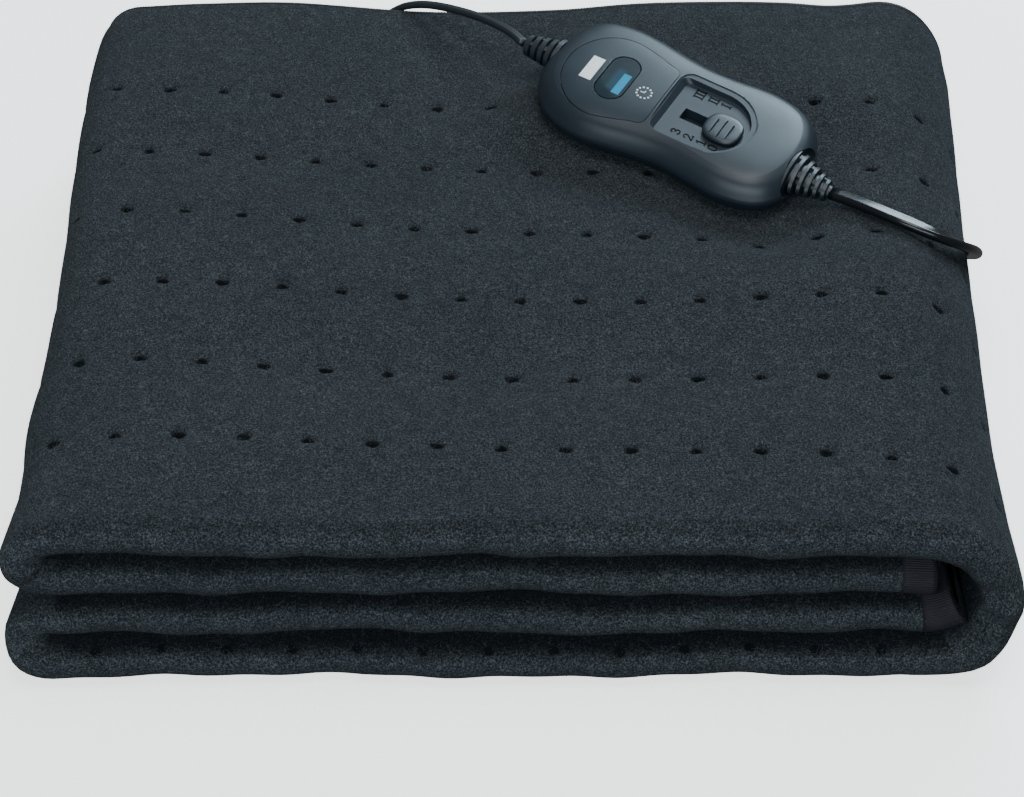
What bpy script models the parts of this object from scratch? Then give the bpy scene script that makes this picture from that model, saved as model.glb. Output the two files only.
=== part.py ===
"""An electric heated blanket of thick fleece, folded in half and then to four leaves, with the controller
that lies on it, the lead into the blanket, and the mains lead with its stored coil and plug.

Metres, +Z up. The rounded nose of the fold in half faces -Y, and the open, overlocked edge faces +Y.
"""

from math import cos, hypot, pi, radians, sin, sqrt, tan

import bmesh
import bpy
from mathutils import Matrix, Vector

GAP = 0.0003  # between pieces that touch

# ---- the cloth: two plies to a leaf, four leaves to the stack -------------------------------------------
PLY = 0.0076
SLIT = 0.0012  # between the two plies of a leaf
HALF_LEAF = PLY + SLIT / 2
LEAF_PITCH = 0.0190
FOLD_RADIUS = LEAF_PITCH / 2  # middle of a leaf, round the folds at the left
WRAP_RADIUS = 1.5 * LEAF_PITCH  # middle of the leaf that wraps the right side, top to bottom
FOLD_OUTSIDE = FOLD_RADIUS + HALF_LEAF
WRAP_OUTSIDE = WRAP_RADIUS + HALF_LEAF
STACK_HEIGHT = 3 * LEAF_PITCH + 2 * HALF_LEAF
LEVEL = {"top": 3 * LEAF_PITCH, "second": 2 * LEAF_PITCH, "third": LEAF_PITCH, "bottom": 0.0}
NOSE_Y = {"top": -0.1903, "second": -0.1885, "third": -0.1885, "bottom": -0.1918}
BACK_Y = 0.2000
BACK_STAGGER = 0.0022  # how far the plies' cut edges stand unevenly

# (y, x) of the folded outline
LEFT_EDGE = (
    (-0.200, -0.1945), (-0.165, -0.1915), (-0.115, -0.1948), (-0.065, -0.1938), (0.000, -0.1955),
    (0.050, -0.1990), (0.100, -0.2015), (0.160, -0.2040), (0.185, -0.2035), (0.201, -0.2010),
)
RIGHT_EDGE = ((-0.200, 0.1800), (-0.110, 0.1806), (0.030, 0.1898), (0.180, 0.2000), (0.201, 0.2000))
LOWER_FOLD_OUT = ((-0.200, 0.0018), (0.000, 0.0))  # the lower of the two left folds stands out in front
RIGHT_SAG = ((-0.200, 0.0080), (-0.050, 0.0060), (0.050, 0.0045), (0.180, 0.0070), (0.201, 0.0070))
LEFT_SAG = 0.0020
SAG_WIDTH = 0.0220
SAG_FADE = 1.6
SECOND_END = {"past": 0.0055, "drop": 0.0013, "fade": 9.0}  # where the inner leaves end, past the
THIRD_END = {"past": 0.0130, "lift": 0.0060, "from": 0.0020, "slope": radians(24)}  # middle of the wrap

# Rise of the top surface, in millimetres: y, then one column for each of RELIEF_X
RELIEF_X = (-0.192, -0.152, -0.112, -0.047, 0.013, 0.053, 0.093, 0.123, 0.148, 0.190)
RELIEF_MM = (
    (-0.196, -3.0, 0.5, 1.0, 0.0, 0.0, 0.0, 1.0, 1.0, -1.0, -3.0),
    (-0.146, -4.0, 2.0, 2.5, 0.5, 0.0, 1.0, 2.0, 1.5, -0.5, -4.0),
    (-0.094, -4.0, 1.0, -1.0, -4.5, -5.0, -3.5, -1.0, 1.0, 1.0, -3.0),
    (-0.046, 1.0, 3.0, 2.5, -2.0, -2.3, -1.0, 2.0, 5.0, 6.0, 1.0),
    (0.004, 4.0, 5.0, 2.5, -2.0, -3.0, -3.5, -3.5, -0.5, 2.0, 0.0),
    (0.056, 3.0, 2.0, 0.0, -3.5, -5.0, -5.0, -4.0, 0.0, 2.0, -1.0),
    (0.106, 4.0, 4.0, 2.0, -3.0, -4.5, -3.0, 0.0, 5.0, 6.0, 1.0),
    (0.196, 0.0, 1.5, 2.0, -3.0, -2.0, 1.5, 2.5, 2.0, 0.5, 5.0),
)
SINK = 1.3  # how quickly the rise fades towards the floor
BED = {"clear": 0.0011, "half_u": 0.0630, "half_w": 0.0320, "skirt": 0.034}  # the cloth under the controller

# ---- the lattice of spot welds that quilts the cloth ----------------------------------------------------
WELD_PITCH_X = 0.02425
WELD_PITCH_Y = 0.0509
WELD_CENTRE = (-0.00135, -0.0224)  # of column 8, halfway between rows 3 and 4
COLUMN_LEAN = tan(radians(4.2))
ROW_LEAN = tan(radians(2.4))
FIRST_COLUMN = 0
LAST_COLUMN = 18
WELD_RADIUS = 0.0036
WELD_DEPTH = 0.0026
PUFF = 0.0008  # how far the cloth stands up between welds
FRONT_WELDS = {"first_x": -0.1602, "pitch": 0.0240, "count": 13}  # along the nose of the bottom leaf
FRONT_WELD_DEPTH = 0.0016

# ---- the controller -------------------------------------------------------------------------------------
CONTROLLER_BASE = (0.0638, 0.0735, 0.0745)
TILT = radians(8.0)  # the cloth lifts its far side
LONG_AXIS = radians(-36.7)
CROSS_AXIS = radians(62.3)
LENGTH = 0.1365
SHELL_CENTRE = (-0.0014, 0.0054)  # (u, w) of the middle of the outline, which the next places count from
LEFT_HALF_WIDTH = 0.0388
WAIST_HALF_WIDTH = 0.0325
RIGHT_HALF_WIDTH = 0.0358
LEFT_LOBE = -0.040
WAIST = 0.008
RIGHT_LOBE = 0.040
END_POWER = {"far left": 7.0, "near left": 4.6, "right": 6.5}  # how square the round ends are
PARTING = 0.0066  # height of the line between the shells
SHELL_TOP = 0.0186
CROWN = 0.0016
OUTLINE_POINTS = 72

ABOVE = 0.030  # clear of the top of the controller
PANEL_FLOOR = 0.0154
PANEL = {"left": -0.0573, "right": -0.0062, "round": 0.0235, "half_w": 0.0269, "w": 0.0010}
PANEL_CORNER = ((-0.0200, 0.0240), (-0.0097, 0.0209), (-0.0072, 0.0193), (-0.0062, 0.0168))  # (u, half width)
WINDOW = {"u": -0.0303, "w": 0.0007, "half_u": 0.0071, "half_w": 0.0150, "sunk": 0.0006}
RECESS = {"left": -0.0040, "right": 0.0380, "half_w": 0.0208, "floor": 0.0158, "corner": 0.0040}
RECESS_END = 0.0191  # reach of its round right end
SLOT = {"left": 0.0047, "right": 0.0291, "half_w": 0.0037, "floor": 0.0108}
KNOB = {"u": 0.0261, "w": -0.0008, "half_u": 0.0092, "half_w": 0.0090, "square": 2.6}
KNOB_LEVELS = ((0.0, 0.0161), (0.0, 0.0176), (0.0003, 0.0181), (0.0012, 0.0184))  # (inset, height)
KNOB_STEM = {"half_u": 0.0020, "half_w": 0.0031, "foot": 0.0118, "into_knob": 0.0010}
GRIP = {"pitch": 0.0040, "half_u": 0.00035, "half_w": 0.0056, "w": -0.0022, "depth": 0.0005}  # its grooves
RELIEF_HEIGHT = 0.0092  # of both strain reliefs' middle lines
GROOVE_SHARE = 0.86  # of the sleeve's size, in its grooves
PAST_END = 0.090
# "w" is the place of the sleeve's middle across the controller at its base and its tip,
# and "base" and "tip" are its half width and half height there
LEFT_RELIEF = {
    "side": -1, "start": 0.0640, "end": 0.0834, "w": (0.0080, 0.0059), "base": (0.0100, 0.0064),
    "tip": (0.0050, 0.0043), "ribs": 5,
}
RIGHT_RELIEF = {
    "side": 1, "start": 0.0600, "end": 0.0815, "w": (0.0022, -0.0005), "base": (0.0160, 0.0066),
    "tip": (0.0046, 0.0038), "ribs": 6,
}

# ---- the leads ------------------------------------------------------------------------------------------
LEAD_RADIUS = 0.0025
MAINS_RADIUS = 0.0027
COIL = {"x": 0.1375, "y": 0.2535, "inner": 0.0313, "outer": 0.0457, "bottom": 0.0017, "top": 0.0149}

# The blanket lead, from the left strain relief over the back edge and into the cloth
BLANKET_LEAD = (
    (-0.0014, 0.1279, 0.0913),
    (-0.0072, 0.1390, 0.0908),
    (-0.0156, 0.1535, 0.0880),
    (-0.0245, 0.1668, 0.0847),
    (-0.0332, 0.1785, 0.0812),
    (-0.0415, 0.1876, 0.0783),
    (-0.0500, 0.1942, 0.0757),
    (-0.0582, 0.2000, 0.0716),
    (-0.0650, 0.2054, 0.0656),
    (-0.0698, 0.2096, 0.0597),
    (-0.0722, 0.2106, 0.0546),
    (-0.0733, 0.2088, 0.0501),
    (-0.0738, 0.2052, 0.0475),
    (-0.0740, 0.1998, 0.0466),
)
# The mains lead, from the right strain relief down the right side and along the floor to the coil
MAINS_LEAD = (
    (0.1294, 0.0230, 0.0768),
    (0.1355, 0.0176, 0.0776),
    (0.1437, 0.0093, 0.0787),
    (0.1520, 0.0018, 0.0790),
    (0.1597, -0.0036, 0.0784),
    (0.1672, -0.0062, 0.0762),
    (0.1744, -0.0055, 0.0724),
    (0.1811, -0.0010, 0.0668),
    (0.1870, 0.0076, 0.0592),
    (0.1919, 0.0205, 0.0492),
    (0.1956, 0.0360, 0.0378),
    (0.1969, 0.0520, 0.0264),
    (0.1957, 0.0680, 0.0160),
    (0.1930, 0.0840, 0.0082),
    (0.1908, 0.1010, 0.0040),
    (0.1905, 0.1220, 0.0030),
    (0.1912, 0.1500, 0.0030),
    (0.1915, 0.1850, 0.0030),
    (0.1900, 0.2200, 0.0030),
    (0.1862, 0.2480, 0.0030),
)
# The mains lead's tail, from the coil to the plug
PLUG_TAIL = (
    (0.0951, 0.2780, 0.0034),
    (0.0915, 0.2722, 0.0036),
    (0.0860, 0.2672, 0.0044),
    (0.0790, 0.2640, 0.0056),
    (0.0700, 0.2630, 0.0068),
    (0.0600, 0.2630, 0.0074),
)
LEAD_STEP = {"blanket": 0.011, "mains": 0.014, "tail": 0.012}  # between the points of each lead
COIL_EDGE = 0.0024
COIL_STEPS = 40
TIE = {"angle": radians(-62), "width": 0.007, "thickness": 0.0010, "bend": 0.0016, "loose": 0.0006}
PLUG = {"x": 0.0597, "y": 0.2630, "z": 0.0075, "length": 0.046, "half_width": 0.0172, "half_height": 0.0070}
# share of the plug's length from the lead's end, then the shares of its full half width and half height
PLUG_SECTIONS = (
    (0.00, 0.22, 0.52),
    (0.30, 0.34, 0.66),
    (0.42, 0.62, 0.86),
    (0.56, 0.92, 1.00),
    (0.96, 1.00, 1.00),
    (1.00, 0.94, 0.92),
)
PLUG_FLAT = 0.62  # share of the half width that is flat above and below
PLUG_SIDE = 0.30  # share of the half height that is upright at the sides
PIN = {"radius": 0.0020, "length": 0.0190, "apart": 0.0186, "points": 12}
PIN_SECTIONS = ((0.0, 1.0), (0.93, 1.0), (1.0, 0.55))  # (share of the length, share of the radius)


# ---- helpers ---------------------------------------------------------------------------------------------
def material(name, colour, roughness, metallic=0.0):
    made = bpy.data.materials.new(name)
    made.use_nodes = True
    shader = made.node_tree.nodes["Principled BSDF"]
    shader.inputs["Base Color"].default_value = (*colour, 1.0)
    shader.inputs["Roughness"].default_value = roughness
    shader.inputs["Metallic"].default_value = metallic
    return made


def mesh_object(name, bm, finish, frame=None, smooth_angle=radians(40)):
    """Closes off a bmesh as an object with its faces out, moved by frame from its own axes to the world."""
    if frame:
        bmesh.ops.transform(bm, matrix=frame, verts=bm.verts)
    bmesh.ops.recalc_face_normals(bm, faces=bm.faces)
    mesh = bpy.data.meshes.new(name)
    bm.to_mesh(mesh)
    bm.free()
    mesh.materials.append(finish)
    mesh.shade_smooth()
    mesh.set_sharp_from_angle(angle=smooth_angle)
    made = bpy.data.objects.new(name, mesh)
    bpy.context.collection.objects.link(made)
    return made


def loft(rings):
    """A closed bmesh through rings of equally many points, with a flat face at each end."""
    bm = bmesh.new()
    rows = [[bm.verts.new(point) for point in ring] for ring in rings]
    count = len(rows[0])
    for low, high in zip(rows, rows[1:]):
        for k in range(count):
            bm.faces.new((low[k], low[(k + 1) % count], high[(k + 1) % count], high[k]))
    bm.faces.new(rows[0])
    bm.faces.new(rows[-1])
    return bm


def mix(a, b, share):
    return a + (b - a) * share


def ease(share):
    return share * share * (3 - 2 * share)


def along(table, at):
    """Reads a smooth curve through a table of (place, value) rows."""
    if at <= table[0][0]:
        return table[0][1]
    for k in range(len(table) - 1):
        (low, value), (high, next_value) = table[k], table[k + 1]
        if at <= high:
            share = (at - low) / (high - low)
            start = 0.0 if k == 0 else (next_value - table[k - 1][1]) / (high - table[k - 1][0])
            last = k + 2 >= len(table)
            end = 0.0 if last else (table[k + 2][1] - value) / (table[k + 2][0] - low)
            return hermite(value, next_value, start * (high - low), end * (high - low), share)
    return table[-1][1]


def hermite(a, b, slope_a, slope_b, t):
    t2, t3 = t * t, t * t * t
    return (
        (2 * t3 - 3 * t2 + 1) * a + (t3 - 2 * t2 + t) * slope_a + (3 * t2 - 2 * t3) * b + (t3 - t2) * slope_b
    )


def smooth_route(points, step):
    """Points about step apart on one smooth curve through the route's own points."""
    points = [Vector(point) for point in points]
    ends = [points[0] * 2 - points[1], *points, points[-1] * 2 - points[-2]]
    out = []
    for k in range(1, len(ends) - 2):
        pieces = max(1, round((ends[k + 1] - ends[k]).length / step))
        for j in range(pieces):
            t = j / pieces
            slope_a = (ends[k + 1] - ends[k - 1]) / 2
            slope_b = (ends[k + 2] - ends[k]) / 2
            out.append(hermite(ends[k], ends[k + 1], slope_a, slope_b, t))
    return [*out, points[-1]]


# ---- the blanket -----------------------------------------------------------------------------------------
def rise(x, y):
    """How far the top of the stack lies above its even height. It follows the controller's underside."""
    rows = [(row[0], along(tuple(zip(RELIEF_X, row[1:])), x)) for row in RELIEF_MM]
    u, w, underside = under_controller(x, y)
    past_end = max(0.0, abs(u - SHELL_CENTRE[0]) - BED["half_u"])
    past_side = max(0.0, abs(w - SHELL_CENTRE[1]) - BED["half_w"])
    away = hypot(past_end, past_side)
    share = ease(1 - min(1.0, away / BED["skirt"]))
    return mix(along(rows, y) / 1000, underside - BED["clear"] - STACK_HEIGHT, share)


def under_controller(x, y):
    """The place (x, y) along and across the controller, and the height of its flat underside there."""
    along_axis, across_axis, _ = controller_axes()
    base_x, base_y, base_z = CONTROLLER_BASE
    x, y = x - base_x, y - base_y
    turn = along_axis.x * across_axis.y - along_axis.y * across_axis.x
    u = (x * across_axis.y - y * across_axis.x) / turn
    w = (y * along_axis.x - x * along_axis.y) / turn
    return u, w, base_z + u * along_axis.z + w * across_axis.z


def sag(x, y, z):
    """How far the folds spread sideways under the weight of the cloth above, most at the floor."""
    right = min(1.0, max(0.0, (x - wrap_x(y)) / SAG_WIDTH))
    left = min(1.0, max(0.0, (fold_x(y) - x) / FOLD_OUTSIDE))
    height = max(0.0, 1 - z / STACK_HEIGHT)
    low_height = max(0.0, 1 - z / (LEAF_PITCH + 2 * HALF_LEAF))
    spread = along(RIGHT_SAG, y) * ease(right) * height**SAG_FADE
    return spread - LEFT_SAG * ease(left) * low_height**SAG_FADE


def settle(point):
    """Moves a point of the even stack to where the uneven cloth really lies."""
    x, y, z = point
    share = max(0.0, z / STACK_HEIGHT) ** SINK
    return Vector((x + sag(x, y, z), y, z + rise(x, y) * share))


def fold_x(y):
    return along(LEFT_EDGE, y) + FOLD_OUTSIDE


def wrap_x(y):
    return along(RIGHT_EDGE, y) - WRAP_OUTSIDE


def around(centre_x, centre_z, radius, angle):
    """Place and outward direction of the middle of a leaf, on a bend."""
    return centre_x + radius * cos(angle), centre_z + radius * sin(angle), cos(angle), sin(angle)


def on_top(place, y):
    """The top leaf at place, which is x on its flat and runs on round the bends at its ends."""
    left, right = fold_x(y), wrap_x(y)
    if place < left:
        height = HALF_LEAF + (LEVEL["top"] + LEVEL["second"]) / 2
        return around(left, height, FOLD_RADIUS, pi / 2 + (left - place) / FOLD_OUTSIDE)
    if place > right:
        height = HALF_LEAF + LEVEL["top"] / 2
        return around(right, height, WRAP_RADIUS, pi / 2 - (place - right) / WRAP_OUTSIDE)
    return place, HALF_LEAF + LEVEL["top"], 0.0, 1.0


def on_third(share, left, right):
    """The third leaf, which lifts at its end against the inside of the wrap."""
    end = right + THIRD_END["past"]
    x = mix(left, end, share)
    near_end = min(1.0, max(0.0, (x - right + THIRD_END["from"]) / (THIRD_END["past"] + THIRD_END["from"])))
    slope = THIRD_END["slope"] * near_end
    height = HALF_LEAF + LEVEL["third"] + THIRD_END["lift"] * near_end**2.5
    return x, height, -sin(slope), cos(slope)


def leaf_middle(zone, place, y):
    """x, z and the outward direction of the middle of a leaf, for a place in one zone of the folded sheet."""
    left, right = fold_x(y), wrap_x(y)
    if zone == "second":
        x = mix(right + SECOND_END["past"], left, place)
        drop = SECOND_END["drop"] * (1 - place) ** SECOND_END["fade"]
        return x, HALF_LEAF + LEVEL["second"] - drop, 0.0, -1.0
    if zone == "upper fold":
        start = left - pi * FOLD_OUTSIDE
        return on_top(mix(start, column_line(FIRST_COLUMN)(y), place), y)
    if zone == "top":
        return on_top(place, y)
    if zone == "wrap":
        end = right + pi * WRAP_OUTSIDE
        return on_top(mix(column_line(LAST_COLUMN + 0.5)(y), end, place), y)
    if zone == "bottom":
        return place, HALF_LEAF, 0.0, -1.0
    if zone == "lower fold":
        height = HALF_LEAF + (LEVEL["third"] + LEVEL["bottom"]) / 2
        return around(left - along(LOWER_FOLD_OUT, y), height, FOLD_RADIUS, -pi / 2 - pi * place)
    return on_third(place, left - along(LOWER_FOLD_OUT, y), right)


def column_line(column):
    """The line of one column of welds, as x for a given y."""
    across = (column - 8) * WELD_PITCH_X
    return lambda y: WELD_CENTRE[0] + across + COLUMN_LEAN * (y - WELD_CENTRE[1])


def row_y(row, x):
    return WELD_CENTRE[1] + (row - 3.5) * WELD_PITCH_Y - ROW_LEAN * (x - WELD_CENTRE[0])


SECOND_STEPS = 9
UPPER_FOLD_STEPS = 5
LOWER_FOLD_STEPS = 7
THIRD_SHARES = (0.1, 0.2, 0.3, 0.4, 0.5, 0.6, 0.7, 0.8, 0.85, 0.91, 0.955, 1.0)


def stations():
    """The cross-sections of the folded cloth, from the hidden end of the second leaf to that of the third."""
    out = [("second", k / SECOND_STEPS) for k in range(SECOND_STEPS)]
    out += [("upper fold", k / UPPER_FOLD_STEPS) for k in range(UPPER_FOLD_STEPS)]
    halves = range(2 * FIRST_COLUMN, 2 * LAST_COLUMN + 2)
    out += [("top", column_line(k / 2)) for k in halves]
    out += [("wrap", 0.5)]
    welds = range(FRONT_WELDS["count"] - 1, -1, -1)
    out += [("bottom", FRONT_WELDS["first_x"] + k * FRONT_WELDS["pitch"]) for k in welds]
    out += [("lower fold", k / LOWER_FOLD_STEPS) for k in range(LOWER_FOLD_STEPS + 1)]
    out += [("third", share) for share in THIRD_SHARES]
    return out


# The ring round one leaf: the outer ply's outside (welds lie on whole rows), the nose, the inner ply's
# outside, then the slit between the plies. "row" counts rows of welds, "side" is in half leaves.
OUTER_ROWS = (7.25, 6.6, 6, 5.5, 5, 4.5, 4, 3.5, 3, 2.5, 2, 1.5, 1, 0.62)
INNER_ROWS = (1.4, 2.8, 4.2, 5.6, 7.0)
SLIT_ROWS = (6.4, 4.9, 3.4, 1.9)
NOSE_ANGLES = (90, 60, 30, 0, -30, -60, -90)
EDGE_ROUND = 0.0016  # the rounded cut edge of a ply stands out in its middle
BACK_WAVES = {"outer": 9.0, "inner": 11.0}  # of the cut edges' unevenness, in radians over the stack's height


def ring_points(level):
    """(y or row, height in the leaf) round the leaf, for a leaf whose middle lies at this height."""
    share = level / (3 * LEAF_PITCH)
    table = sorted((LEVEL[name] / (3 * LEAF_PITCH), NOSE_Y[name]) for name in LEVEL)
    nose = along(table, share)
    outer_back = BACK_Y - BACK_STAGGER * (0.5 + 0.5 * sin(BACK_WAVES["outer"] * share))
    inner_back = BACK_Y - BACK_STAGGER * (0.5 + 0.5 * cos(BACK_WAVES["inner"] * share))
    ring = [("y", outer_back - EDGE_ROUND, HALF_LEAF)]
    ring += [("row", row, HALF_LEAF) for row in OUTER_ROWS]
    for angle in NOSE_ANGLES:
        turn = radians(angle)
        ring.append(("y", nose - HALF_LEAF * cos(turn), HALF_LEAF * sin(turn)))
    ring += [("row", row, -HALF_LEAF) for row in INNER_ROWS]
    ring.append(("y", inner_back - EDGE_ROUND, -HALF_LEAF))
    ring.append(("y", inner_back, -HALF_LEAF + PLY / 2))
    ring.append(("y", inner_back - EDGE_ROUND, -SLIT / 2))
    ring += [("row", row, -SLIT / 2) for row in SLIT_ROWS]
    ring.append(("y", nose - SLIT / 2, 0.0))
    ring += [("row", row, SLIT / 2) for row in reversed(SLIT_ROWS)]
    ring.append(("y", outer_back - EDGE_ROUND, SLIT / 2))
    ring.append(("y", outer_back, HALF_LEAF - PLY / 2))
    return ring


def station_level(zone, place):
    """Rough height of the leaf's middle, which the nose and the cut edge follow."""
    x, z, _, _ = leaf_middle(zone, place(0.0) if callable(place) else place, 0.0)
    return z - HALF_LEAF


def cloth_point(zone, place, kind, value, height):
    x = 0.0
    for _ in range(3):
        y = row_y(value, x) if kind == "row" else value
        at = place(y) if callable(place) else place
        x, z, out_x, out_z = leaf_middle(zone, at, y)
    if zone == "top" and kind == "row" and height == HALF_LEAF:
        height += puff(value, at, y)
    return settle((x + out_x * height, y, z + out_z * height))


def puff(row, x, y):
    """The soft rise between welds on the top leaf."""
    column = (x - COLUMN_LEAN * (y - WELD_CENTRE[1]) - WELD_CENTRE[0]) / WELD_PITCH_X
    return PUFF * (sin(pi * row) ** 2 + sin(pi * column) ** 2) / 2


def dimple(bm, verts, depth):
    """Sinks a small pit at each of these points."""
    found = bmesh.ops.bevel(bm, geom=verts, offset=WELD_RADIUS, segments=1, affect="VERTICES")
    bmesh.ops.poke(bm, faces=found["faces"], offset=-depth)


def blanket(finish):
    bm = bmesh.new()
    rows = []
    for zone, place in stations():
        ring = ring_points(station_level(zone, place))
        rows.append([bm.verts.new(cloth_point(zone, place, *point)) for point in ring])
    count = len(rows[0])
    for one, two in zip(rows, rows[1:]):
        for k in range(count):
            bm.faces.new((one[k], one[(k + 1) % count], two[(k + 1) % count], two[k]))
    for ring in (rows[0], rows[-1]):
        bmesh.ops.triangulate(bm, faces=[bm.faces.new(ring)])
    bmesh.ops.recalc_face_normals(bm, faces=bm.faces)

    names = [zone for zone, _ in stations()]
    top = [row for row, zone in zip(rows, names) if zone == "top"][::2]  # whole columns
    bottom = [row for row, zone in zip(rows, names) if zone == "bottom"]
    weld_rings = [1 + k for k, row in enumerate(OUTER_ROWS) if row == int(row)]
    nose_ring = 1 + len(OUTER_ROWS) + NOSE_ANGLES.index(0)
    dimple(bm, [row[k] for row in top for k in weld_rings], WELD_DEPTH)
    dimple(bm, [row[nose_ring] for row in bottom], FRONT_WELD_DEPTH)
    return mesh_object("blanket", bm, finish, smooth_angle=radians(60))


# ---- the controller --------------------------------------------------------------------------------------
def controller_axes():
    """The controller's own axes: u along it to the right, w across it away from the eye, then up."""
    lean = Matrix.Rotation(TILT, 3, "X")
    along_axis = lean @ Vector((cos(LONG_AXIS), sin(LONG_AXIS), 0))
    across_axis = lean @ Vector((cos(CROSS_AXIS), sin(CROSS_AXIS), 0))
    return along_axis, across_axis, lean @ Vector((0, 0, 1))


def controller_frame():
    frame = Matrix(controller_axes()).transposed().to_4x4()
    frame.translation = Vector(CONTROLLER_BASE)
    return frame


def half_width(u):
    """Half the controller's width at u from the middle of its outline, without its round ends."""
    if u < LEFT_LOBE:
        return LEFT_HALF_WIDTH
    if u < WAIST:
        swing = (1 + cos(pi * (u - LEFT_LOBE) / (WAIST - LEFT_LOBE))) / 2
        return mix(WAIST_HALF_WIDTH, LEFT_HALF_WIDTH, swing)
    if u < RIGHT_LOBE:
        swing = (1 - cos(pi * (u - WAIST) / (RIGHT_LOBE - WAIST))) / 2
        return mix(WAIST_HALF_WIDTH, RIGHT_HALF_WIDTH, swing)
    return RIGHT_HALF_WIDTH


def end_round(u, side):
    """1 over the lobes, falling to 0 at the two round ends. side is 1 on the far half, -1 on the near."""
    power = END_POWER["right"] if u > 0 else END_POWER["far left" if side > 0 else "near left"]
    return sqrt(max(0.0, 1 - abs(u / (LENGTH / 2)) ** power))


def shell_outline(inset):
    """The controller's outline about its own middle, drawn in by inset."""
    points = []
    for k in range(OUTLINE_POINTS):
        turn = 2 * pi * k / OUTLINE_POINTS
        u = LENGTH / 2 * cos(turn)
        side = 1 if sin(turn) >= 0 else -1
        points.append(Vector((u, side * half_width(u) * end_round(u, side))))
    return inset_outline(points, inset)


def inset_outline(points, inset):
    out = []
    count = len(points)
    for k, point in enumerate(points):
        tangent = points[(k + 1) % count] - points[k - 1]
        normal = Vector((tangent.y, -tangent.x)).normalized()
        out.append(point - normal * inset)
    return out


def crown(u, w):
    """How far the top face falls from its middle towards its edge."""
    return CROWN * ((u / (LENGTH / 2)) ** 2 + (w / LEFT_HALF_WIDTH) ** 2)


def drawn_in(point, share):
    """Moves a point of the outline this share of the way to the spine along the middle of the shell."""
    spine = Vector((min(max(point.x, SPINE[0]), SPINE[1]), 0.0))
    return point.lerp(spine, share)


def shell_rings(levels):
    """Rings of the shell, from rows of (height, inset, share drawn in, whether it falls to the edge)."""
    centre_u, centre_w = SHELL_CENTRE
    rings = []
    for height, inset, share, crowned in levels:
        outline = [drawn_in(point, share) for point in shell_outline(inset)]
        falls = [crown(p.x, p.y) if crowned else 0.0 for p in outline]
        rings.append([(centre_u + p.x, centre_w + p.y, height - fall) for p, fall in zip(outline, falls)])
    return rings


SPINE = (-0.034, 0.036)
LOWER_LEVELS = (
    (0.0, 0.0085, 0.0, False),
    (0.0004, 0.0055, 0.0, False),
    (0.0018, 0.0026, 0.0, False),
    (0.0040, 0.0009, 0.0, False),
    (PARTING, 0.0, 0.0, False),
)
UPPER_LEVELS = (
    (PARTING + GAP, 0.0, 0.0, False),
    (0.0092, 0.0003, 0.0, False),
    (0.0128, 0.0016, 0.0, False),
    (0.0160, 0.0042, 0.0, True),
    (0.0179, 0.0078, 0.0, True),
    (0.0186, 0.0078, 0.17, True),
    (0.0188, 0.0078, 0.40, True),
    (SHELL_TOP + 0.0004, 0.0078, 0.65, True),
)


def window_outline(grown, points=20):
    """A slot shape, longest across the controller."""
    half_u, half_w = WINDOW["half_u"] + grown, WINDOW["half_w"] + grown
    out = []
    for k in range(points):
        turn = 2 * pi * (k + 0.5) / points
        shift = half_w - half_u if sin(turn) > 0 else half_u - half_w
        out.append((WINDOW["u"] + half_u * cos(turn), WINDOW["w"] + shift + half_u * sin(turn)))
    return out


def knob_outline(inset, points=32):
    """An almost round shape with flattened sides."""
    out = []
    for k in range(points):
        turn = 2 * pi * (k + 0.5) / points
        reach = (abs(cos(turn)) ** KNOB["square"] + abs(sin(turn)) ** KNOB["square"]) ** (-1 / KNOB["square"])
        u = KNOB["u"] + (KNOB["half_u"] - inset) * reach * cos(turn)
        out.append((u, KNOB["w"] + (KNOB["half_w"] - inset) * reach * sin(turn)))
    return out


def recess_outline(points=14):
    """A straight left side with rounded corners, and a round right end."""
    half_w, corner = RECESS["half_w"], RECESS["corner"]
    out = []
    for k in range(points + 1):
        turn = -pi / 2 + pi * k / points
        out.append((RECESS["right"] - RECESS_END * (1 - cos(turn)), half_w * sin(turn)))
    for side in (1, -1):
        for turn in (0.0, pi / 6, pi / 3, pi / 2):
            bend = (cos(turn), sin(turn)) if side < 0 else (sin(turn), cos(turn))
            out.append((RECESS["left"] + corner * (1 - bend[0]), side * (half_w - corner * (1 - bend[1]))))
    return out


def panel_outline(inset, points=12):
    """The face panel: a drop shape that follows the left lobe."""
    left, middle = PANEL["left"] + inset, PANEL["w"]
    out = []
    for k in range(points + 1):
        turn = pi / 2 + pi * k / points
        out.append((
            left + PANEL["round"] * (1 + cos(turn)),
            middle + (PANEL["half_w"] - inset) * sin(turn),
        ))
    near = [(min(u, PANEL["right"] - inset), middle - half + inset) for u, half in PANEL_CORNER]
    far = [(min(u, PANEL["right"] - inset), middle + half - inset) for u, half in reversed(PANEL_CORNER)]
    return [*out, *near, *far]


def rectangle(left, right, half_w, middle=0.0):
    near, far = middle - half_w, middle + half_w
    return [(left, near), (right, near), (right, far), (left, far)]


def prism(outline, bottom, top):
    return loft([[(u, w, bottom) for u, w in outline], [(u, w, top) for u, w in outline]])


def cut(target, cutter_bm, frame, operation="DIFFERENCE"):
    """Cuts an object by a bmesh, with the cutter kept out of the render."""
    cutter = mesh_object(target.name + "_cutter", cutter_bm, target.data.materials[0], frame)
    cutter.hide_render = True
    cutter.display_type = "WIRE"
    cutter.hide_set(True)
    modifier = target.modifiers.new(operation.lower(), "BOOLEAN")
    modifier.operation = operation
    modifier.object = cutter


def upper_body():
    return loft(shell_rings(UPPER_LEVELS))


def lower_shell(frame, finish):
    return mesh_object("controller_lower_shell", loft(shell_rings(LOWER_LEVELS)), finish, frame)


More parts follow.
